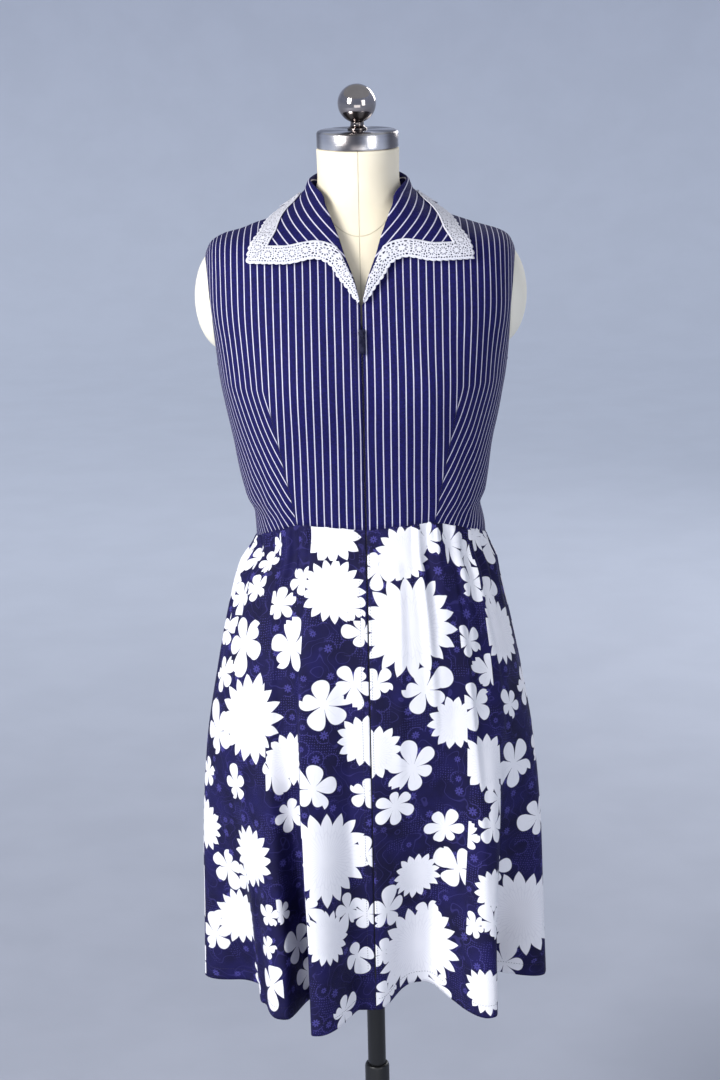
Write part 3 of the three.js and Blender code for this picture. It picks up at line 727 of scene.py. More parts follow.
# The bodice's surface, with a groove along each dart and slight drag lines
def bodiceSurface(dart):
    def surface(angle, z):
        point = dressPoint(angle, z)
        normal = outward(dressPoint, angle, z)
        drop = np.clip((dart["top"] - z) / (dart["top"] - dart["foot"]), 0, 1)
        line = dart["topX"] - drop * (dart["topX"] - dart["footX"])
        groove = -0.9 * np.exp(-(((np.abs(point[..., 0]) - line) / 2.2) ** 2)) * drop ** 0.5
        x = point[..., 0]
        drag = 0.55 * np.sin(x * 0.16 + z * 0.031 + 2) * np.sin(z * 0.021 + x * 0.02)
        pull = 0.5 * np.sin(x * 0.33 + 1.2 * np.sin(z * 0.02))
        low = np.clip((1190 - z) / 90, 0, 1)
        return point + normal * (groove + drag + pull * low)[..., None]
    return surface


# Distance round the body from the middle of the front or back: level with the point, or for the
# shoulders, level with the chest
def grainLine(middle):
    chest = 1330

    def lengths(angle, z):
        point = dressPoint(angle, z)
        total = 0 * angle
        last = dressPoint(middle + 0 * angle, z)
        steps = 48
        for k in range(1, steps + 1):
            here = dressPoint(middle + (angle - middle) * k / steps, z)
            total = total + np.linalg.norm((here - last)[..., :2], axis=-1)
            last = here
        turn = np.linspace(0, 90, 400)
        level = dressPoint(middle + turn, chest + 0 * turn)
        run = np.linalg.norm(np.diff(level[:, :2], axis=0), axis=-1)
        run = np.concatenate([[0], np.cumsum(run)])
        above = np.interp(np.abs(point[..., 0]), np.abs(level[:, 0]), run)
        share = np.clip((z - chest + 40) / 40, 0, 1)
        return total * (1 - share) + above * share
    return lengths


def makeBodice():
    made = {}
    for side, name in ((-1, "bodice_front_right"), (1, "bodice_front_left")):
        def shapeAt(u, v, side=side):
            angle, z = frontPlace(side, u, v)
            return bodiceSurface(frontDart)(angle, z)
        made[name] = makeSheet(
            name + "_cloth", bodice["columns"], bodice["rows"], shapeAt, bodice["wall"],
            [cloths["front"]], origin=(0 if side > 0 else 1, 0),
            grain=lambda u, v, side=side: grainLine(0)(*frontPlace(side, u, v)),
        )
    made["bodice_back"] = makeSheet(
        "bodice_back_cloth", 88, 80,
        lambda u, v: bodiceSurface(backDart)(*backPlace(u, v)), bodice["wall"],
        [cloths["back"]], origin=(0.5, 0), grain=lambda u, v: grainLine(180)(*backPlace(u, v)),
    )
    for node, piece in made.items():
        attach(piece, "dressed_form")
        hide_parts(node)
    return made


bodicePieces = makeBodice()
print("bodice made")


# Where the big flowers lie: angle round the skirt, height, radius, petals
bigFlowers = [
    (-57, 850, 54, 18), (-19, 1010, 37, 17), (-22, 1072, 36, 14), (-4, 835, 31, 14),
    (-40, 808, 33, 16), (-22, 696, 57, 18), (-23, 598, 34, 18), (-60, 680, 39, 16),
    (-74, 580, 38, 16), (-88, 690, 34, 16), (-88, 1000, 40, 16),
    (22, 964, 58, 18), (70, 938, 40, 16), (22, 1046, 33, 16), (42, 848, 32, 14),
    (55, 790, 36, 15), (2, 820, 33, 14), (25, 652, 30, 16), (28, 556, 58, 20),
    (80, 572, 56, 18), (56, 638, 26, 14), (53, 516, 28, 14),
]
# Folds that hide some cloth, so that the print breaks off along them: the fold's angle at the
# waist and at the hem, and how many millimetres of cloth lie hidden
foldSpan = {"top": 1076, "length": 590}
tucks = [
    {"from": -33, "to": -31, "hides": 26}, {"from": -52, "to": -49, "hides": 12},
    {"from": 45, "to": 49, "hides": 16}, {"from": 60, "to": 63, "hides": 20},
]
# Small flowers: angle, height, radius, petals
smallFlowers = [
    (-46, 990, 20, 6), (-36, 1020, 18, 5), (-39, 942, 28, 5), (-61, 1002, 17, 5),
    (-63, 936, 31, 5), (-22, 880, 30, 5), (-8, 900, 23, 5), (-48, 790, 24, 5),
    (-77, 820, 30, 5), (-26, 784, 28, 5), (-43, 736, 20, 6), (-77, 644, 24, 5),
    (-48, 620, 14, 5), (-53, 612, 15, 5), (-44, 566, 24, 4), (-54, 528, 27, 4),
    (-42, 524, 22, 5), (-15, 622, 22, 5), (-5, 612, 21, 5), (-18, 500, 22, 5),
    (-80, 940, 22, 5), (-86, 545, 22, 5), (-8, 990, 16, 5), (-82, 1040, 18, 5),
    (28, 892, 28, 5), (51, 868, 25, 5), (72, 774, 32, 5), (22, 796, 30, 6),
    (6, 1030, 22, 5), (48, 1050, 28, 5), (57, 1004, 22, 5), (67, 984, 22, 5),
    (8, 618, 24, 5), (12, 752, 23, 6), (39, 712, 22, 6), (48, 704, 15, 5),
    (45, 660, 27, 4), (56, 712, 22, 5), (50, 592, 15, 6), (56, 596, 20, 5),
    (76, 502, 24, 5), (84, 860, 24, 5), (80, 1036, 22, 5), (84, 694, 24, 5),
    (36, 1062, 22, 5), (8, 505, 20, 5), (66, 1052, 18, 5), (70, 850, 18, 5),
    (-72, 985, 20, 5), (-70, 1030, 17, 5), (-58, 1030, 15, 6), (-76, 890, 22, 5),
    (-52, 1052, 13, 5), (-66, 760, 20, 5), (-31, 640, 18, 5), (-12, 560, 20, 4),
    (-66, 640, 20, 5), (-3, 960, 18, 5), (-3, 770, 20, 5), (-4, 690, 18, 5),
    (4, 900, 20, 5), (6, 560, 20, 5), (60, 900, 22, 5), (50, 940, 20, 5),
    (60, 745, 22, 5), (66, 640, 22, 5), (34, 600, 18, 5), (88, 780, 22, 5),
    (-66, 505, 22, 5), (-85, 760, 18, 5), (40, 500, 20, 5), (-55, 570, 15, 5),
    (58, 1036, 18, 5),
]
backPrint = {
    "seed": 11, "big": 26, "small": 90, "tries": 4000, "low": 480, "high": 1060,
    "mmPerDegree": 3.2, "closest": 0.93,
}


# The back's flowers are scattered at random, clear of each other
def backFlowers():
    random = np.random.default_rng(backPrint["seed"])
    big, small = [], []
    for wanted, radii, found in (
        (backPrint["big"], (30, 36, 42, 56), big), (backPrint["small"], (18, 22, 26, 30), small),
    ):
        for _ in range(backPrint["tries"]):
            if len(found) == wanted:
                break
            angle = random.uniform(90, 270)
            z = random.uniform(backPrint["low"], backPrint["high"])
            radius = radii[random.integers(len(radii))]
            clear = True
            for other in big + small:
                gap = math.hypot((angle - other[0]) * backPrint["mmPerDegree"], z - other[1])
                clear = clear and gap > backPrint["closest"] * (radius + other[2])
            if clear:
                petals = random.integers(14, 19) if found is big else random.integers(4, 7)
                found.append((angle, z, radius, int(petals)))
    return big, small


def hiddenAt(angle, z):
    total = 0 * angle
    for tuck in tucks:
        down = np.clip((foldSpan["top"] - z) / foldSpan["length"], 0, 1)
        line = tuck["from"] + (tuck["to"] - tuck["from"]) * down
        side = 1 if tuck["from"] > 0 else -1
        total = total + side * tuck["hides"] * mm * (angle * side > line * side)
    return total


# Each face carries its nearest flower: where the face's corners lie in that flower, in shares of
# its radius, and the flower's number of petals
def motifWriter(name, flowers, surfaceRows):
    def write(shape, cloth, i, j):
        angles, heights = surfaceRows
        layer = shape.loops.layers.uv.new(name)
        count = shape.faces.layers.float.new(name + "Petals")
        centres = []
        for angle, z, radius, _ in flowers:
            row = int(np.argmin(np.abs(heights[:, heights.shape[1] // 2] - z)))
            column = int(np.argmin(np.abs(angles[row] - angle)))
            row = int(np.argmin(np.abs(heights[:, column] - z)))
            reach = cloth[..., 0] - cloth[:, column:column + 1, 0]
            rise = cloth[..., 1] - cloth[row, column, 1]
            turn = math.radians(angle * 7 + z)
            centres.append((reach, rise, hiddenAt(angle, z), radius * mm, turn))
        reaches, rises = (np.stack([centre[k] for centre in centres]) for k in range(2))
        held, radii, turns = (np.array([centre[k] for centre in centres]) for k in (2, 3, 4))
        for face in shape.faces:
            corners = [loop.vert.index for loop in face.loops]
            rows, columns = j[corners], i[corners]
            shift = hiddenAt(angles[rows, columns].mean(), heights[rows, columns].mean()) - held
            x = (reaches[:, rows, columns] + shift[:, None]) / radii[:, None]
            y = rises[:, rows, columns] / radii[:, None]
            nearest = int(np.argmin(np.hypot(x, y).mean(axis=1)))
            face[count] = flowers[nearest][3]
            across, up, turn = x[nearest], y[nearest], turns[nearest]
            for k, loop in enumerate(face.loops):
                loop[layer].uv = (
                    across[k] * math.cos(turn) - up[k] * math.sin(turn),
                    across[k] * math.sin(turn) + up[k] * math.cos(turn),
                )
    return write


def polar(wire, name):
    x, y, _ = wire.node("ShaderNodeUVMap", {"uv_map": name}).parts()
    petals = wire.node("ShaderNodeAttribute", {"attribute_name": name + "Petals"}, out=2)
    return (x * x + y * y) ** 0.5, y.maths("ARCTAN2", y, x), petals


floral = {
    "ground": tone(0.055, 0.046, 0.20),
    "groundLight": tone(0.092, 0.080, 0.30),
    "fine": tone(0.32, 0.30, 0.62),
    "white": tone(0.93, 0.93, 0.95),
    "grey": tone(0.80, 0.80, 0.84),
}


def floralBuild(wire):
    place = objectPlace(wire)
    cloth = clothPlace(wire)

    # Big flowers: pointed petals with fine lines running out of the middle
    r, turn, petals = polar(wire, "big")
    sector = (turn * petals / (2 * math.pi)) % 1
    side = abs(sector - 0.5) * 2
    ripple = (turn * 5).sine() * 0.03
    edge = (1 - side).most(0) ** 0.78 * 0.27 + 0.74 + ripple
    big = (edge - r).step(-0.012, 0.012)
    fineSector = (turn * petals * 2.5 / (2 * math.pi)) % 1
    ray = 1 - abs(fineSector - 0.5).step(0.03, 0.1)
    ray = ray * r.step(0.1, 0.22) * (1 - r.step(0.55, 0.86))
    inner = 1 - abs(r - edge * 0.62).step(0.006, 0.02)
    lines = (ray * 0.75).most(inner * 0.5)

    # Small flowers: round petals, narrow towards the middle
    r2, turn2, petals2 = polar(wire, "small")
    r2 = r2 / ((turn2 - 0.6).cosine() * 0.13 + 0.87)
    sweep = 2 * math.pi / petals2
    local = (turn2 % sweep) - sweep * 0.5
    index = (turn2 / sweep).floor() + petals2 * 3.7
    uneven = wire.node("ShaderNodeTexWhiteNoise", {"noise_dimensions": "1D"}, {"W": index})
    long = uneven * 0.3 + 0.98
    out = r2 * local.cosine()
    across = abs(r2 * local.sine())
    width = ((out * 1.8 + 0.75) / petals2).most(0.05)
    shape = ((out - long * 0.56) / (long * 0.5)) ** 2 + (across / width) ** 2
    small = (1.0 - shape).step(-0.06, 0.06).most((0.22 - r2).step(-0.02, 0.02))
    vein = (1 - across.step(0.006, 0.03)) * r2.step(0.15, 0.3) * (1 - r2.step(0.6, 0.75)) * 0.4

    # Fine print on the ground, a little lighter than it: rosettes, dots and scrolls
    cells = {"Vector": cloth, "Scale": 38, "Randomness": 0.95}
    rosetteCell = wire.node("ShaderNodeTexVoronoi", {"voronoi_dimensions": "2D"}, cells, out=2)
    chance, size, _ = wire.node(
        "ShaderNodeTexVoronoi", {"voronoi_dimensions": "2D"}, cells, out=1
    ).parts()
    offset = wire.node(
        "ShaderNodeVectorMath", {"operation": "SUBTRACT"}, {0: cloth, 1: rosetteCell}
    )
    ox, oy, _ = offset.parts()
    spot = (ox * ox + oy * oy) ** 0.5 / mm
    spotTurn = oy.maths("ARCTAN2", oy, ox) * 4
    lobes = (abs(spotTurn.cosine()) * 3.4 + 2.0) * (size * 0.5 + 0.6)
    rosette = (lobes - spot).step(-0.3, 0.3) * spot.step(0.8, 1.2) * chance.step(0.4, 0.42)
    ringOne = 1 - abs(spot - 9.5).step(0.25, 0.6)
    dots = wire.node(
        "ShaderNodeTexVoronoi", {"voronoi_dimensions": "2D"},
        {"Vector": cloth, "Scale": 330, "Randomness": 0.35}, out=0,
    )
    dotPatch = noiseOf(wire, cloth, 24, 1, flat=True).step(0.5, 0.58)
    dotted = (1 - dots.step(0.14, 0.22)) * dotPatch * spot.step(7, 8)
    swirl = noiseOf(wire, cloth, 21, 1.5, flat=True) * 9
    scroll = (1 - abs(swirl % 1 - 0.5).step(0.02, 0.06)) * (1 - dotPatch)
    fine = (rosette * 0.8).most(dotted * 0.75).most(scroll * 0.3).most(ringOne * dotPatch * 0.5)

    shade = noiseOf(wire, place, 30, 3).step(0.3, 0.75)
    ground = shade.mix(floral["ground"], floral["groundLight"])
    patterned = (fine * 0.75).mix(ground, floral["fine"])
    marks = (lines * big).most(vein * small) * 0.5
    flower = marks.mix(floral["white"], floral["grey"])
    return {
        "Base Color": big.most(small).mix(patterned, flower),
        "Roughness": noiseOf(wire, place, 70, 2) * 0.12 + 0.62,
        "Normal": weaveBump(wire, cloth),
    }


floralCloth = makeMaterial("floral_cotton", floralBuild, Specular_IOR_Level=0.2)


skirt = {"wall": 0.7, "rows": 130, "tuckUp": 3, "tuckIn": 1.7, "belowZip": 15, "zipFoot": 545}


def skirtPlace(start, end, u, v):
    near = start + (end - start) * u
    top = waistAt(near) + skirt["tuckUp"]
    z = hemAt(near) + (top - hemAt(near)) * v
    opening = np.where(z > skirt["zipFoot"] - skirt["belowZip"], 0.75, 0.2)
    trims = []
    for angle in (start, end):
        half = opening if abs(angle) < 1 else 0.15
        trims.append(degreesOf(half, angle + 0 * z, z))
    first, last = start + trims[0], end - trims[1]
    return first + (last - first) * u, z


def skirtSurface(angle, z):
    point = skirtPoint(angle, z)
    direction = outward(dressPoint, angle, z)
    above = np.clip((z - waistAt(angle) + 4) / (skirt["tuckUp"] + 4), 0, 1)
    return point - direction * (skirt["tuckIn"] * above ** 2)[..., None]


def makeSkirt():
    backBig, backSmall = backFlowers()
    made = {}
    for name, start, end, columns in (
        ("skirt_front_right", -90, 0, 104), ("skirt_front_left", 0, 90, 104),
        ("skirt_back", 90, 270, 190),
    ):
        places = skirtPlace(start, end, *lattice(columns, skirt["rows"]))
        kept = [
            [f for f in flowers if start <= f[0] <= end]
            for flowers in (bigFlowers + backBig, smallFlowers + backSmall)
        ]
        made[name] = makeSheet(
            name + "_cloth", columns, skirt["rows"],
            lambda u, v, start=start, end=end: skirtSurface(*skirtPlace(start, end, u, v)),
            skirt["wall"], [floralCloth], origin=(0.5, 1),
            motifs=[motifWriter("big", kept[0], places), motifWriter("small", kept[1], places)],
        )
        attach(made[name], "dressed_form")
        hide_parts(name)
    return made


skirtPieces = makeSkirt()
print("skirt made")


collar = {"wall": 1.0, "columns": 208, "rows": 30}
# Share of the way from roll to edge, and height above the bodice, from the outer edge over the
# roll and down inside
collarPath = [(1, 4.6), (0.68, 5.8), (0.35, 6.2), (0.07, 5.8), (0, 3.8), (0.06, 2.0)]
lace = {
    "wall": 0.7, "above": 1.7, "columns": 900, "rows": 12, "scallop": 7.4, "deep": 1.9,
    "proud": 0.6, "band": 21.5, "wheelPitch": 15, "wheelMiddle": 11.2,
}


def collarStation(u):
    s = (1 - np.abs(2 * u - 1)) * (len(collarStations) - 1)
    rollAngle, rollZ, edgeAngle, edgeZ, seam, start = stationAt(s)
    turned = [np.where(u < 0.5, angle, 360 - angle) for angle in (rollAngle, edgeAngle)]
    return turned[0], rollZ, turned[1], edgeZ, seam, start


def collarPoint(station, share, rise):
    angle = station[0] + (station[2] - station[0]) * share
    z = station[1] + (station[3] - station[1]) * share
    return dressPoint(angle, z) + outward(dressPoint, angle, z) * rise[..., None]


def leafRise(share):
    rows = [(place, rise) for place, rise in reversed(collarPath[:5])]
    return along(rows, share)


def collarShape(u, v):
    station = collarStation(u)
    last = len(collarPath)
    t = v * last
    shares = [(k, place[0]) for k, place in enumerate(collarPath)]
    rises = [(k, place[1]) for k, place in enumerate(collarPath)] + [(last, 1.6)]
    inner = np.clip(t - last + 1, 0, 1)
    share = along(shares, np.minimum(t, last - 1)) + (station[4] - collarPath[-1][0]) * inner
    return collarPoint(station, share, along(rises, t))


# The lace's own length and breadth: how far along the collar's edge a point lies, and how far in
# from that edge
def lacePlace(points):
    edge = laceEdge()
    run = np.concatenate([[0], np.cumsum(np.linalg.norm(np.diff(edge, axis=0), axis=-1))])
    place = np.zeros(points.shape[:2] + (2,))
    for row in range(points.shape[0]):
        away = np.linalg.norm(points[row][:, None] - edge[None], axis=-1)
        place[row, :, 0] = run[away.argmin(axis=1)]
        place[row, :, 1] = away.min(axis=1)
    return place


def laceEdge():
    station = collarStation(np.linspace(0, 1, 1600))
    whole = 1 + 0 * station[0]
    share = whole + (lace["proud"] + lace["deep"]) / leafWidth(station)
    return collarPoint(station, share, leafRise(whole) + lace["above"])


def leafWidth(station):
    edge = collarPoint(station, 1 + 0 * station[0], leafRise(1 + 0 * station[0]))
    roll = collarPoint(station, 0 * station[0], leafRise(0 * station[0]))
    return np.maximum(np.linalg.norm(edge - roll, axis=-1), 6)


# Share of the way from roll to edge where the lace's inner edge lies, a band's width in
def bandShare(u):
    station = collarStation(u)
    edge = laceEdge()
    near, far = np.zeros(len(u)), np.ones(len(u))
    for _ in range(12):
        middle = (near + far) / 2
        point = collarPoint(station, middle, leafRise(middle) + lace["above"])
        away = np.linalg.norm(point[:, None] - edge[None], axis=-1).min(axis=1)
        near = np.where(away > lace["band"], middle, near)
        far = np.where(away > lace["band"], far, middle)
    return near


def laceShape(u, v):
    station = collarStation(u)
    edge = collarPoint(station, 1 + 0 * u, leafRise(1 + 0 * u))
    run = np.cumsum(np.linalg.norm(np.diff(edge[0], axis=0), axis=-1))
    run = np.concatenate([[0], run])[None, :] + 0 * u
    scallop = np.abs(np.sin(np.pi * run / lace["scallop"])) ** 0.7 * lace["deep"]
    outer = 1 + (lace["proud"] + scallop) / leafWidth(station)
    share = outer + (np.maximum(station[5], bandShare(u[0])) - outer) * v
    return collarPoint(station, share, leafRise(np.clip(share, 0, 1)) + lace["above"])


def collarBuild(wire):
    x, y, z = objectPlace(wire).parts()
    return stripeCloth(wire, z * 0.74 - abs(x) * 0.67 - y * 0.12)


def laceBuild(wire):
    run, across, _ = clothPlace(wire).parts()
    pitch, middle, width = (lace[key] * mm for key in ("wheelPitch", "wheelMiddle", "band"))
    a = ((run / pitch) % 1 - 0.5) * pitch / mm
    b = (across - middle) / mm
    r = (a * a + b * b) ** 0.5
    turn = b.maths("ARCTAN2", b, a)
    disc = 1 - r.step(2.7, 3.0)
    spokes = abs((turn * 5).sine()).step(0.55, 0.8)
    ring = r.step(4.6, 4.8) * (1 - r.step(6.2, 6.5))
    wheel = spokes * (1 - r.step(4.7, 4.9))
    cells = wire.node(
        "ShaderNodeTexVoronoi", {"voronoi_dimensions": "2D", "feature": "DISTANCE_TO_EDGE"},
        {"Vector": clothPlace(wire), "Scale": 340, "Randomness": 0.6}, out=0,
    )
    net = (1 - cells.step(0.2, 0.27)) * r.step(5.8, 6.0)
    cords = (1 - across.step(0.0030, 0.0034)).most(across.step(width - 0.0020, width - 0.0017))
    solid = disc.most(wheel).most(ring).most(net).most(cords)
    height = disc.most(ring).most(net * 0.6).most(cords * 0.8)
    grain = noiseOf(wire, objectPlace(wire), 900, 2)
    return {
        "Base Color": grain.mix(tone(0.80, 0.80, 0.84), tone(0.90, 0.90, 0.93)),
        "Alpha": solid,
        "Roughness": grain * 0.1 + 0.78,
        "Normal": bumpOf(wire, height + grain * 0.15, 0.0006, 0.7),
    }


def makeCollar():
    leaf = makeSheet(
        "collar_cloth", collar["columns"], collar["rows"], collarShape, collar["wall"],
        [makeMaterial("pinstripe_cotton_collar", collarBuild, Specular_IOR_Level=0.18)],
    )
    edging = makeSheet(
        "collar_lace_edging", lace["columns"], lace["rows"], laceShape, lace["wall"],
        [makeMaterial("cotton_lace", laceBuild, Sheen_Weight=0.1, Sheen_Roughness=0.5)],
        placeOf=lacePlace,
    )
    for piece, node, slot in ((leaf, "collar", "pinstripe_cloth"), (edging, "collar_lace", "lace")):
        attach(piece, "dressed_form")
        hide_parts(node)
    return leaf, edging


collarLeaf, laceEdging = makeCollar()
print("collar made")


zipper = {"head": 1327, "foot": 545, "closedTo": 1289, "tooth": 1.5, "behind": 3.2}
stitch = {
    "pitch": 3.3, "long": 1.15, "wide": 0.26, "high": 0.2, "lift": 0.12,
    "hem": 15, "right": 8.5, "left": 3.2, "skirtTop": 1072, "bodice": (1318, 1080),
}


def frontSurface(angle, z):
    over = (z > waistAt(angle) + 1)[..., None]
    return np.where(over, dressPoint(angle, z), skirtPoint(angle, z))


def tapeBuild(wire):
    place = objectPlace(wire)
    run = clothPlace(wire).parts()[1]
    rib = (run * 5200).sine()
    fuzz = noiseOf(wire, place, 300, 2)
    return {
        "Base Color": fuzz.mix(tone(0.06, 0.055, 0.18), tone(0.1, 0.09, 0.25)),
        "Roughness": 0.8,
        "Normal": bumpOf(wire, rib, 0.0001, 0.5),
    }


def metalBuild(deep, light, rough):
    def build(wire):
        place = objectPlace(wire)
        worn = noiseOf(wire, place, 160, 4).step(0.35, 0.75)
        return {
            "Base Color": worn.mix(deep, light),
            "Roughness": noiseOf(wire, place, 96, 3) * 0.16 + rough,
            "Normal": bumpOf(wire, noiseOf(wire, place, 480, 3), 0.00008, 0.3),
        }
    return build


def makeZip():
    tapeMaterial = makeMaterial("zip_tape_weave", tapeBuild)
    tapes = {}
    for name, start, end in (("zip_tape_right", -13.4, -1.4), ("zip_tape_left", 1.4, 13.4)):
        def shapeAt(u, v, start=start, end=end):
            z = zipper["foot"] + (zipper["head"] - zipper["foot"]) * v
            angle = degreesOf(start + (end - start) * u, 0 * u, z)
            normal = outward(dressPoint, angle, z)
            return frontSurface(angle, z) - normal * zipper["behind"]
        tapes[name] = makeSheet(name + "_cloth", 4, 150, shapeAt, 0.8, [tapeMaterial])
        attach(tapes[name], "dressed_form")
        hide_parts(name)
    teeth = bmesh.new()
    z = np.arange(zipper["foot"] + 2, zipper["closedTo"], zipper["tooth"])
    path = frontSurface(0 * z, z)
    normals = outward(dressPoint, 0 * z, z)
    for k, (place, normal) in enumerate(zip(path, normals)):
        side = 0.32 if k % 2 else -0.32
        centre = Vector((place - normal * 0.95) * mm) + Vector((side * mm, 0, 0))
        lean = math.atan2(-normal[2], -normal[1])
        matrix = (
            Matrix.Translation(centre) @ Matrix.Rotation(lean, 4, "X")
            @ Matrix.Diagonal((1.25 * mm, 0.9 * mm, 0.8 * mm, 1))
        )
        bmesh.ops.create_cube(teeth, size=1, matrix=matrix)
    bmesh.ops.bevel(
        teeth, geom=list(teeth.edges), offset=0.12 * mm, affect="EDGES", segments=1, profile=0.5,
        material=-1,
    )
    teethMaterial = makeMaterial(
        "zip_teeth_nylon", metalBuild(tone(0.05, 0.05, 0.15), tone(0.1, 0.1, 0.24), 0.3)
    )
    coil = finishMesh("zip_coil_teeth", teeth, [teethMaterial])
    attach(coil, "dressed_form")
    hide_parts("zip_coil")
    return tapes


# A run of stitches along a line of points, each a small rounded thread lying on the cloth
def stitchRun(shape, points, normals):
    lengths = np.concatenate([[0], np.cumsum(np.linalg.norm(np.diff(points, axis=0), axis=1))])
    places = np.arange(stitch["pitch"] / 2, lengths[-1], stitch["pitch"])
    for place in places:
        at = np.array([np.interp(place, lengths, points[:, k]) for k in range(3)])
        ahead = np.array([np.interp(place + 1, lengths, points[:, k]) for k in range(3)])
        up = np.array([np.interp(place, lengths, normals[:, k]) for k in range(3)])
        forward = Vector(ahead - at).normalized()
        top = Vector(up).normalized()
        side = forward.cross(top).normalized()
        turn = Matrix((side, forward, side.cross(forward))).transposed().to_4x4()
        size = Matrix.Diagonal((stitch["wide"] * mm, stitch["long"] * mm, stitch["high"] * mm, 1))
        move = Matrix.Translation(Vector((at + up * stitch["lift"]) * mm))
        bmesh.ops.create_icosphere(shape, subdivisions=1, radius=1, matrix=move @ turn @ size)


def threadBuild(wire):
    grain = noiseOf(wire, objectPlace(wire), 2500, 2)
    return {
        "Base Color": grain.mix(tone(0.06, 0.055, 0.16), tone(0.12, 0.11, 0.26)),
        "Roughness": 0.6,
        "Normal": bumpOf(wire, grain, 0.00008, 0.4),
    }


def makeStitches():
    thread = makeMaterial("sewing_thread", threadBuild)
    made = {}
    for name, start, end in (
        ("skirt_front_right", -89, -1.5), ("skirt_front_left", 1.5, 89), ("skirt_back", 91, 269),
    ):
        shape = bmesh.new()
        angle = np.linspace(start, end, int((end - start) * 5))
        z = hemAt(angle) + stitch["hem"]
        stitchRun(shape, skirtPoint(angle, z), outward(skirtPoint, angle, z))
        if name != "skirt_back":
            side = -stitch["right"] if start < 0 else stitch["left"]
            z = np.linspace(stitch["skirtTop"], skirt["zipFoot"] - 4, 500)
            angle = degreesOf(side, 0 * z, z)
            stitchRun(shape, skirtPoint(angle, z), outward(skirtPoint, angle, z))
        made[name] = finishMesh(name + "_stitches", shape, [thread])
        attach(made[name], "dressed_form")
    for name, side in (
        ("bodice_front_right", -stitch["right"]), ("bodice_front_left", stitch["left"]),
    ):
        shape = bmesh.new()
        z = np.linspace(*stitch["bodice"], 300)
        angle = degreesOf(side, 0 * z, z)
        surface = bodiceSurface(frontDart)
        stitchRun(shape, surface(angle, z), outward(dressPoint, angle, z))
        made[name] = finishMesh(name + "_stitches", shape, [thread])
        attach(made[name], "dressed_form")
    return made


zipTapes = makeZip()
makeStitches()
enamel = makeMaterial(
    "dark_enamelled_metal", metalBuild(tone(0.10, 0.10, 0.2), tone(0.24, 0.24, 0.34), 0.3),
    Metallic=0.7,
)
for node in ("zip_slider", "zip_pull"):
    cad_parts[node].data.materials.clear()
    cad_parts[node].data.materials.append(enamel)
print("zip and stitching made")


form = {"foot": 790, "top": 1486.6, "around": 144, "rows": 150, "neckSeam": 1397}
plate = {"x": 150, "z": 1322, "half": (37, 43, 60)}


def coverBuild(wire, warm=tone(0.93, 0.885, 0.78), light=tone(0.955, 0.92, 0.83)):
    place = objectPlace(wire)
    x, y, z = place.parts()
    knit = (x * 5200).sine() * (z * 5200).sine()
    front = 1 - y.step(-0.02, 0)
    centre = (1 - abs(x).step(0.00025, 0.0008)) * front
    arc = abs(z - form["neckSeam"] * mm - x * x * 17)
    neck = (1 - arc.step(0.0003, 0.0009)) * (1 - z.step(1.425, 1.43)) * front
    seams = centre.most(neck)
    tonal = noiseOf(wire, place, 14, 3).step(0.3, 0.8)
    cloth = tonal.mix(warm, light)
    bumps = bumpOf(wire, noiseOf(wire, place, 700, 2) + knit * 0.5 - seams * 6, 0.00016, 0.6)
    return {
        "Base Color": (seams * 0.4).mix(cloth, tone(0.6, 0.55, 0.42)),
        "Roughness": noiseOf(wire, place, 90, 2) * 0.1 + 0.75,
        "Normal": bumps,
    }


def makeForm():
    cover = makeMaterial("form_jersey", coverBuild, Sheen_Weight=0.1, Sheen_Roughness=0.5)
    pale = makeMaterial(
        "form_plate_cotton",
        lambda wire: coverBuild(wire, tone(0.91, 0.89, 0.82), tone(0.93, 0.915, 0.86)),
        Sheen_Weight=0.1, Sheen_Roughness=0.5,
    )
    shape = bmesh.new()
    bmesh.ops.create_grid(shape, x_segments=form["around"], y_segments=form["rows"], size=0.5)
    for vert in shape.verts:
        angle = (vert.co.x + 0.5) * 360 - 180
        z = form["foot"] + (form["top"] - form["foot"]) * (vert.co.y + 0.5)
        vert.co = formPoint(np.array([angle]), np.array([z]))[0] * mm
    bmesh.ops.remove_doubles(shape, verts=list(shape.verts), dist=1e-6)
    bmesh.ops.holes_fill(shape, edges=[e for e in shape.edges if e.is_boundary], sides=0)
    rims = [e for e in shape.edges if any(len(f.verts) > 4 for f in e.link_faces)]
    bmesh.ops.bevel(
        shape, geom=rims, offset=2 * mm, affect="EDGES", segments=3, profile=0.5, material=-1
    )
    bmesh.ops.recalc_face_normals(shape, faces=shape.faces)
    for face in shape.faces:
        face.smooth = len(face.verts) <= 4
    body = finishMesh("form_torso_padded", shape, [cover])
    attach(body, "dressed_form")
    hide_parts("form_torso")
    for side, name in ((-1, "right"), (1, "left")):
        shape = bmesh.new()
        bmesh.ops.create_uvsphere(shape, u_segments=48, v_segments=32, radius=1)
        for vert in shape.verts:
            x, y, z = vert.co
            # The plate's outer face is a little flatter than a ball
            x = math.copysign(abs(x) ** 0.92, x)
            vert.co = (
                (side * plate["x"] + plate["half"][0] * x) * mm,
                plate["half"][1] * y * mm,
                (plate["z"] + plate["half"][2] * z) * mm,
            )
        for face in shape.faces:
            face.smooth = True
        pad = finishMesh("form_shoulder_" + name, shape, [pale])
        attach(pad, "dressed_form")


makeForm()
print("form made")


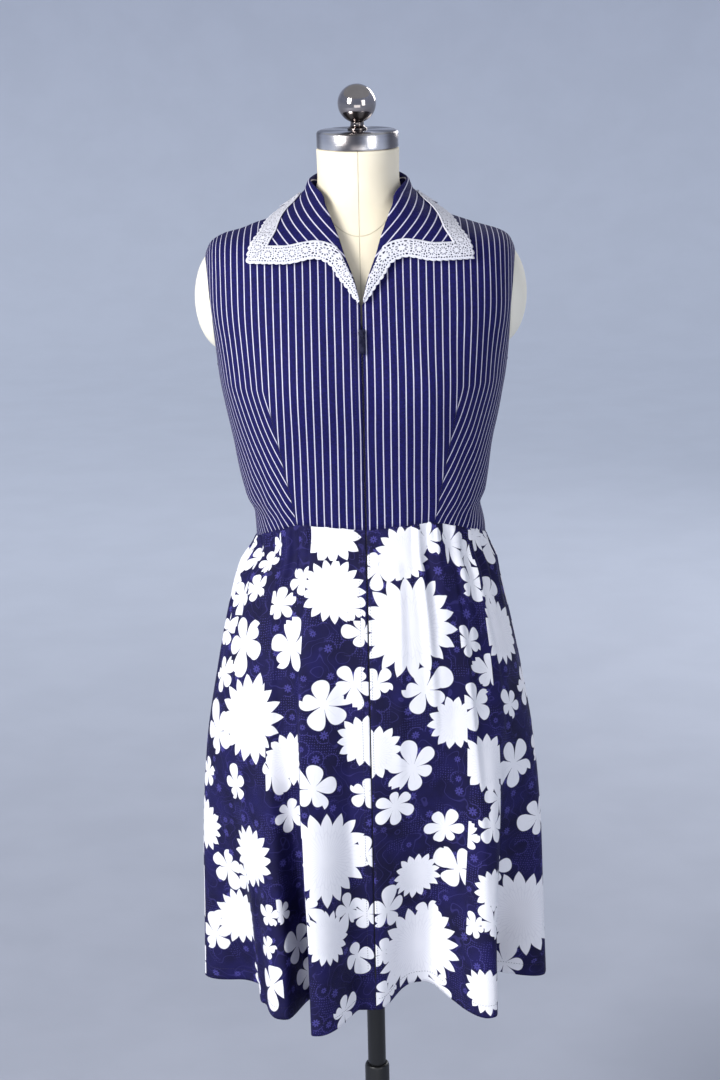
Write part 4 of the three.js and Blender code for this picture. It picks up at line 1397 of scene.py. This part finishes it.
def turnedPiece(name, profile, material, segments=96, soften=0.5):
    shape = bmesh.new()
    points = [shape.verts.new((r * mm, 0, z * mm)) for r, z in profile]
    edges = [shape.edges.new(pair) for pair in zip(points, points[1:])]
    if profile[0][0] > 0:
        edges.append(shape.edges.new((points[-1], points[0])))
    bmesh.ops.spin(
        shape, geom=points + edges, cent=(0, 0, 0), axis=(0, 0, 1), angle=2 * math.pi,
        steps=segments, use_merge=True,
    )
    bmesh.ops.remove_doubles(shape, verts=list(shape.verts), dist=1e-6)
    bmesh.ops.recalc_face_normals(shape, faces=shape.faces)
    sharp = [e for e in shape.edges if e.is_manifold and e.calc_face_angle() > math.radians(28)]
    if soften:
        bmesh.ops.bevel(
            shape, geom=sharp, offset=soften * mm, affect="EDGES", segments=3, profile=0.5,
            material=-1, clamp_overlap=True,
        )
    for face in shape.faces:
        face.smooth = True
    for edge in shape.edges:
        edge.smooth = not edge.is_manifold or edge.calc_face_angle() < math.radians(35)
    return finishMesh(name, shape, [material])


# Turned steel: brushed grain, with light and dark bands round the axis painted in as painted
# reflection
def steelBuild(wire):
    place = objectPlace(wire)
    x, y, _ = place.parts()
    stretched = wire.node("ShaderNodeMapping", sockets={0: place, 3: (6, 6, 900)})
    lines = noiseOf(wire, stretched, 1, 3)
    # Light and dark bands round the axis are painted reflection, mixed with the brushed grain
    turn = y.maths("ARCTAN2", y, x) * 5
    grain_and_painted_bands = (turn + 0.9).sine() * 0.5 + lines * 0.3 + 0.35
    return {
        "Base Color": grain_and_painted_bands.step(0.1, 0.9).mix(tone(0.50, 0.48, 0.48), tone(0.92, 0.91, 0.91)),
        "Roughness": lines * 0.14 + 0.16,
        "Normal": bumpOf(wire, lines, 0.00005, 0.4),
    }


# Polished metal, with painted shade: a little darker towards the underside
def chromeBuild(wire):
    place = objectPlace(wire)
    z = place.parts()[2]
    worn = noiseOf(wire, place, 60, 4).step(0.35, 0.75)
    polish = worn.mix(tone(0.74, 0.71, 0.70), tone(0.80, 0.77, 0.76))
    return {
        # Painted shade: the ball's underside is darker
        "Base Color": z.step(1.518, 1.548).mix(tone(0.46, 0.43, 0.42), polish),
        "Roughness": noiseOf(wire, place, 36, 3) * 0.1 + 0.04,
        "Normal": bumpOf(wire, noiseOf(wire, place, 180, 3), 0.00008, 0.3),
    }


def paintBuild(deep, light, rough):
    def build(wire):
        place = objectPlace(wire)
        dust = noiseOf(wire, place, 26, 4).step(0.45, 0.8)
        return {
            "Base Color": (dust * 0.25).mix(deep, light),
            "Roughness": dust * 0.06 + rough,
            "Normal": bumpOf(wire, noiseOf(wire, place, 1300, 2), 0.00008, 0.5),
        }
    return build


def makeStand():
    steel = makeMaterial("turned_steel", steelBuild, Metallic=1.0)
    chrome = makeMaterial("polished_chrome", chromeBuild, Metallic=1.0)
    black = makeMaterial(
        "black_powder_paint", paintBuild(tone(0.05, 0.05, 0.055), tone(0.11, 0.11, 0.12), 0.36)
    )
    knob = makeMaterial(
        "black_knob_plastic", paintBuild(tone(0.055, 0.055, 0.06), tone(0.1, 0.1, 0.1), 0.5)
    )
    ball = {"r": 21.3, "z": 1535, "stem": 7.5, "start": 1506.2}
    finial = [(0, ball["start"]), (11, ball["start"]), (11, ball["start"] + 2)]
    finial += [(ball["stem"] + 1, ball["start"] + 3.5), (ball["stem"], ball["start"] + 5)]
    low = math.asin(ball["stem"] / ball["r"])
    steps = 40
    for k in range(steps + 1):
        turn = low + (math.pi - low) * k / steps
        radius = ball["r"] * math.sin(turn) if k < steps else 0
        finial.append((radius, ball["z"] - ball["r"] * math.cos(turn)))
    pieces = (
        ("neck_cap", "dressed_form", "steel_cap", steel, 0.8, [
            (0, 1486.9), (44.7, 1486.9), (45.5, 1487.8), (45.5, 1502.9), (44.6, 1504.8),
            (42, 1505.9), (0, 1505.9)]),
        ("finial", "dressed_form", "chrome_ball", chrome, 0.3, finial),
        ("form_socket", "dressed_form", "black_paint", black, 0.7, [
            (11.5, 745), (20, 745), (23, 748), (23, 775), (60, 782), (60, 789.7), (11.5, 789.7)]),
        ("mast", "mast", "black_paint", black, 0.3, [
            (0, 160), (10, 160), (11, 161), (11, 789.7), (0, 789.7)]),
        ("lower_sleeve", "stand", "black_paint", black, 0.5, [
            (11.5, 24.3), (15, 24.3), (15, 360), (14, 363), (12.5, 364), (11.5, 364)]),
        ("base", "stand", "black_paint", black, 1.2, [
            (0, 0), (190, 0), (190, 6), (185, 10), (130, 13.5), (70, 17), (30, 22), (27, 24),
            (0, 24)]),
    )
    for node, body, slot, material, soften, profile in pieces:
        made = turnedPiece(node + "_turned", profile, material, soften=soften)
        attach(made, body)
        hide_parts(node)
    screw = turnedPiece("lock_screw_turned", [
        (0, 15.3), (4, 15.3), (4, 24.3), (11, 25.3), (12, 27.3), (12, 35.3), (10, 37.3), (0, 37.3),
    ], knob, soften=0.6, segments=48)
    screw.data.transform(Matrix.Translation((0, 0, 0.334)) @ Matrix.Rotation(-math.pi / 2, 4, "X"))
    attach(screw, "stand")
    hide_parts("lock_screw")


makeStand()
print("stand made")
